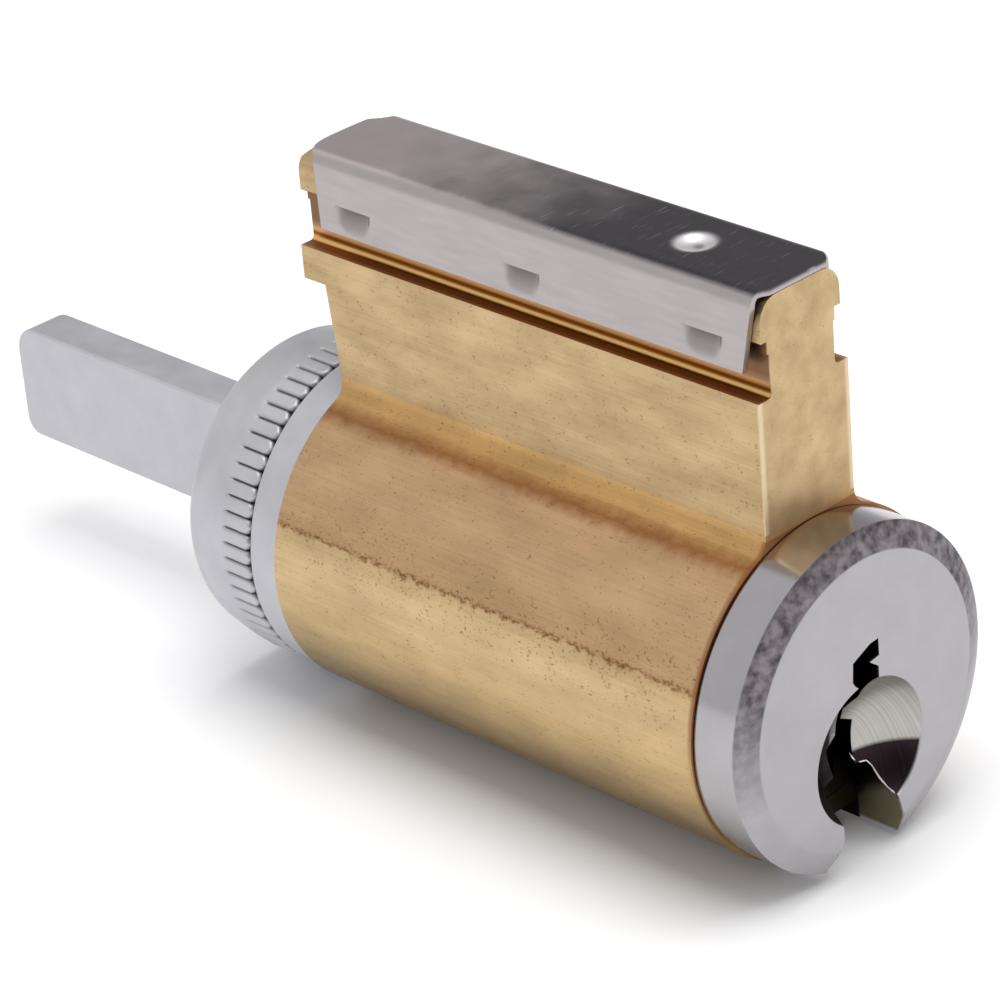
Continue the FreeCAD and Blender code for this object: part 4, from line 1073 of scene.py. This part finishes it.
def buildCap(material):
    size = capSizes
    front, rear, outer = capLow.y, capHigh.y, capHigh.x
    inside = rear - size["wall"]
    shoulder = rear - size["shoulderLength"]
    knurlEnd = front + size["toothLength"] + size["runOut"]
    profile = [(size["bore"], front)]
    profile += [(outer - size["tipRound"] * (1 - math.sin(math.radians(turn))),
                 front + size["tipRound"] * (1 - math.cos(math.radians(turn)))) for turn in range(0, 90, 15)]
    first = front + size["tipRound"]
    profile += [(outer, first + (knurlEnd - first) * step / 20) for step in range(21)]
    for step in range(1, 9):
        share = step / 8
        profile.append((outer - size["taper"] * share ** 1.6, knurlEnd + (shoulder - knurlEnd) * share))
    edge = outer - size["taper"]
    profile += [(size["edge"] + (edge - size["edge"]) * math.cos(math.radians(turn)),
                 shoulder + size["shoulderLength"] * math.sin(math.radians(turn)))
                for turn in range(10, 91, 10)]
    profile += [(0, rear), (0, inside), (size["bore"], inside), (size["bore"], front)]
    # The outline is closed by hand here, because it meets the axis half way round.
    profile = profile[profile.index((0, inside)):-1] + profile[:profile.index((0, inside))]
    piece = turned("retainingCap", profile, size["teeth"] * size["perTooth"])
    tidyNormals(piece, flatten=0)
    tree = knurlTree()
    modifier = piece.modifiers.new("knurl", "NODES")
    modifier.node_group = tree
    given = {"Teeth": size["teeth"], "Depth": size["toothDepth"], "Front": front,
             "Tip Length": size["tipLength"], "Length": size["toothLength"], "Run Out": size["runOut"],
             "Inner Radius": outer - 1.0, "Finish": material}
    for item in tree.interface.items_tree:
        if item.in_out == "INPUT" and item.name in given:
            modifier[item.identifier] = given[item.name]
    applyModifiers(piece)
    across, upward = size["openingHalf"]
    corners = [(-across, -upward), (across, -upward), (across, upward), (-across, upward)]
    opening = straight("tailOpening", corners, inside - 1, rear + 1)
    ring = plugSizes["detentRadius"]
    holes = []
    for number in range(size["holes"]):
        angle = 2 * math.pi * number / size["holes"]
        holes.append(drill(f"detentHole{number}", (ring * math.cos(angle), ring * math.sin(angle)),
                           inside - 1, rear + 1, size["holeRadius"], along="Y", segments=32))
    carve(piece, [opening] + holes)
    piece.data.set_sharp_from_angle(angle=math.radians(size["sharpFrom"]))
    evened = piece.modifiers.new("evenNormals", "WEIGHTED_NORMAL")
    evened.mode = "FACE_AREA"
    evened.keep_sharp = True
    applyModifiers(piece)
    return piece


# Tailpiece: flat bar with a wider head that stays inside the cap.
tailSizes = {
    "barHalf": 3.25,
    "headEnd": 34.38,
    "topCorner": 1.5,
    "footCorner": 0.95,
    "brokenEdge": 0.14,
}


def buildTailpiece():
    size = tailSizes
    start, end = tailLow.y, tailHigh.y
    headTop, bar = tailHigh.z, size["barHalf"]
    outline = [(start, -headTop), (size["headEnd"], -headTop), (size["headEnd"], -bar)]
    outline += arc((end - size["footCorner"], size["footCorner"] - bar), size["footCorner"], -90, 0, 10)
    outline += arc((end - size["topCorner"], bar - size["topCorner"]), size["topCorner"], 0, 90, 12)
    outline += [(size["headEnd"], bar), (size["headEnd"], headTop), (start, headTop)]
    piece = straight("tailBar", outline, tailLow.x, tailHigh.x, along="X")
    breakEdges(piece, size["brokenEdge"], segments=3)
    return piece


# Springs: round wire coiled at an even pitch along each spring's box.
springSizes = {
    "driverWire": 0.28,
    "driverTurns": 11,
    "driverTravel": 5.0,
    "capWire": 0.2,
    "capTurns": 9,
    "capTravel": 1.0,
    "turnSteps": 28,
    "wireSides": 8,
}


def buildSpring(name, low, high, wire, turns, alongY=False):
    start, end = (low.y, high.y) if alongY else (low.z, high.z)
    coil = (high.x - low.x - wire) / 2
    steps, sides = turns * springSizes["turnSteps"], springSizes["wireSides"]
    points, faces = [], []
    for step in range(steps + 1):
        turn = 2 * math.pi * step / springSizes["turnSteps"]
        rise = wire / 2 + (end - start - wire) * step / steps
        for side in range(sides):
            lean = 2 * math.pi * side / sides
            reach = coil + wire / 2 * math.cos(lean)
            points.append((reach * math.cos(turn), reach * math.sin(turn), rise + wire / 2 * math.sin(lean)))
    for step in range(steps):
        for side in range(sides):
            after = (side + 1) % sides
            faces.append([step * sides + side, step * sides + after, (step + 1) * sides + after,
                          (step + 1) * sides + side])
    faces += [list(range(sides))[::-1], list(range(len(points) - sides, len(points)))]
    piece = newPiece(name, points, faces)
    foot = (low + high) / 2
    if alongY:
        piece.data.transform(Matrix.Rotation(math.radians(-90), 4, "X"))
        foot.y = start
    else:
        foot.z = start
    piece.data.transform(Matrix.Translation(foot))
    tidyNormals(piece, flatten=0)
    return piece


def addSprings():
    size = springSizes
    wire = turnedMetal("drawnWire")
    for number in range(1, 7):
        low, high = boxOf(f"driver_spring_{number}")
        piece = buildSpring(f"driverSpring{number}", low, high, size["driverWire"], size["driverTurns"])
        settle(piece, [wire], "shell", "spring_steel", f"driver_spring_{number}")
        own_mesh(piece)
    low, high = boxOf("cap_pin_spring")
    piece = buildSpring("capPinSpring", low, high, size["capWire"], size["capTurns"], alongY=True)
    settle(piece, [turnedMetal("drawnWire", alongY=True)], "plug", "spring_steel", "cap_pin_spring")
    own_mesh(piece)


# Camera, floor and lights.
view = {
    "place": (-131.5, -121.96, 102.7),
    "azimuth": -42.643,
    "elevation": 27.151,
    "roll": -5.035,
    "lens": 158.72,
}


def addCamera():
    a, e, roll = (math.radians(view[key]) for key in ("azimuth", "elevation", "roll"))
    back = Vector((math.sin(a) * math.cos(e), -math.cos(a) * math.cos(e), math.sin(e)))
    right = Vector((0, 0, 1)).cross(back).normalized()
    upward = back.cross(right)
    across = math.cos(roll) * right + math.sin(roll) * upward
    upright = math.cos(roll) * upward - math.sin(roll) * right
    data = bpy.data.cameras.new("camera")
    data.lens = view["lens"]
    data.clip_start = 0.01
    data.clip_end = 20
    camera = bpy.data.objects.new("camera", data)
    turn = Matrix((across, upright, back)).transposed().to_4x4()
    camera.matrix_world = Matrix.Translation(Vector(view["place"]) / perMetre) @ turn
    bpy.context.scene.collection.objects.link(camera)
    bpy.context.scene.camera = camera


studio = {
    "floor": "#F6F6F7",
    "floorHalf": 3.0,
    "tent": 0.82,
    "dim": [
        # direction, cosine where it starts and where it is darkest, how dark
        ((0.60, 0.66, 0.46), 0.80, 0.97, 0.5),
        ((-0.45, -0.72, 0.53), 0.75, 0.97, 0.35),
    ],
    "lamps": [
        # name, place in metres, side in metres, watts
        ("overhead", (0.0, -0.1, 0.75), 0.6, 4.1),
    ],
}


def addStudio():
    low = min(corner[2] for corner in cadBounds)
    half = studio["floorHalf"]
    corners = [(-half, -half, low), (half, -half, low), (half, half, low), (-half, half, low)]
    floor = newPiece("floor", corners,
                     [[0, 1, 2, 3]])
    material, tree, place = newMaterial("paperSweep")
    cloud = addNode(tree, "ShaderNodeTexNoise", None, {"Vector": place, "Scale": 0.02, "Detail": 2.0})
    rough = addNode(tree, "ShaderNodeMapRange", None, {"Value": cloud, "To Min": 0.75, "To Max": 0.9})
    grain = addNode(tree, "ShaderNodeTexNoise", None, {"Vector": place, "Scale": 4.0, "Detail": 2.0})
    bump = addNode(tree, "ShaderNodeBump", None, {"Strength": 0.05, "Distance": 0.00002, "Height": grain})
    closeMaterial(tree, linear(studio["floor"]), 0.0, rough, bump)
    floor.data.materials.append(material)
    for name, place, side, watts in studio["lamps"]:
        data = bpy.data.lights.new(name, "AREA")
        data.size = side
        data.energy = watts
        lamp = bpy.data.objects.new(name, data)
        lamp.location = place
        lamp.rotation_euler = (-Vector(place)).to_track_quat("-Z", "Y").to_euler()
        lamp.visible_camera = False
        bpy.context.scene.collection.objects.link(lamp)
    world = bpy.data.worlds.new("studio")
    world.use_nodes = True
    tree = world.node_tree
    tree.nodes.clear()
    direction = addNode(tree, "ShaderNodeTexCoord", out="Generated")
    light = studio["tent"]
    for towards, start, full, share in studio["dim"]:
        cosine = addNode(tree, "ShaderNodeVectorMath", {"operation": "DOT_PRODUCT"},
                         {0: direction, 1: Vector(towards).normalized()}, out="Value")
        shade = addNode(tree, "ShaderNodeMapRange", {"interpolation_type": "SMOOTHSTEP"}, {
            "Value": cosine, "From Min": start, "From Max": full, "To Min": 1.0, "To Max": share})
        light = addNode(tree, "ShaderNodeMath", {"operation": "MULTIPLY"}, {0: light, 1: shade})
    shine = addNode(tree, "ShaderNodeBackground", None, {"Color": light, "Strength": 1.0})
    addNode(tree, "ShaderNodeOutputWorld", None, {"Surface": shine}, out=None)
    bpy.context.scene.world = world
    bpy.context.scene.view_settings.view_transform = "Standard"


addCamera()
addStudio()
print("camera and studio set")

brass = machinedBrass()
nickel = platedNickel(plugSizes["faceRadius"], plugLow.y + plugSizes["bevelLength"],
                      Vector((plugSizes["scoopX"], 0, plugSizes["scoopZ"])))
strip = rolledStrip()
zinc = mattZinc()
print("materials made")

settle(buildShell(), [brass], "shell", "shell_brass", "shell")
settle(buildPlug(), [nickel, turnedMetal("highlightNickel")], "plug", "plug_nickel", "plug")
settle(buildCover(), [strip], "shell", "cover_steel", "chamber_cover")
settle(buildWasher(), [zinc], "plug", "cap_zinc", "cap_washer")
settle(buildCap(zinc), [zinc], "plug", "cap_zinc", "retaining_cap")
settle(buildTailpiece(), [zinc], "plug", "cap_zinc", "tailpiece")

inner = {
    "key_pin": turnedMetal("turnedBrass"),
    "driver_pin": turnedMetal("turnedNickelSilver"),
    "cap_pin": turnedMetal("turnedNickelSilver", alongY=True),
}
for name, node in frame["nodes"].items():
    kind = name if name in inner else name.rstrip("0123456789_")
    if kind in inner:
        node.data.materials.clear()
        node.data.materials.append(inner[kind])
addSprings()
print("inner pieces finished")
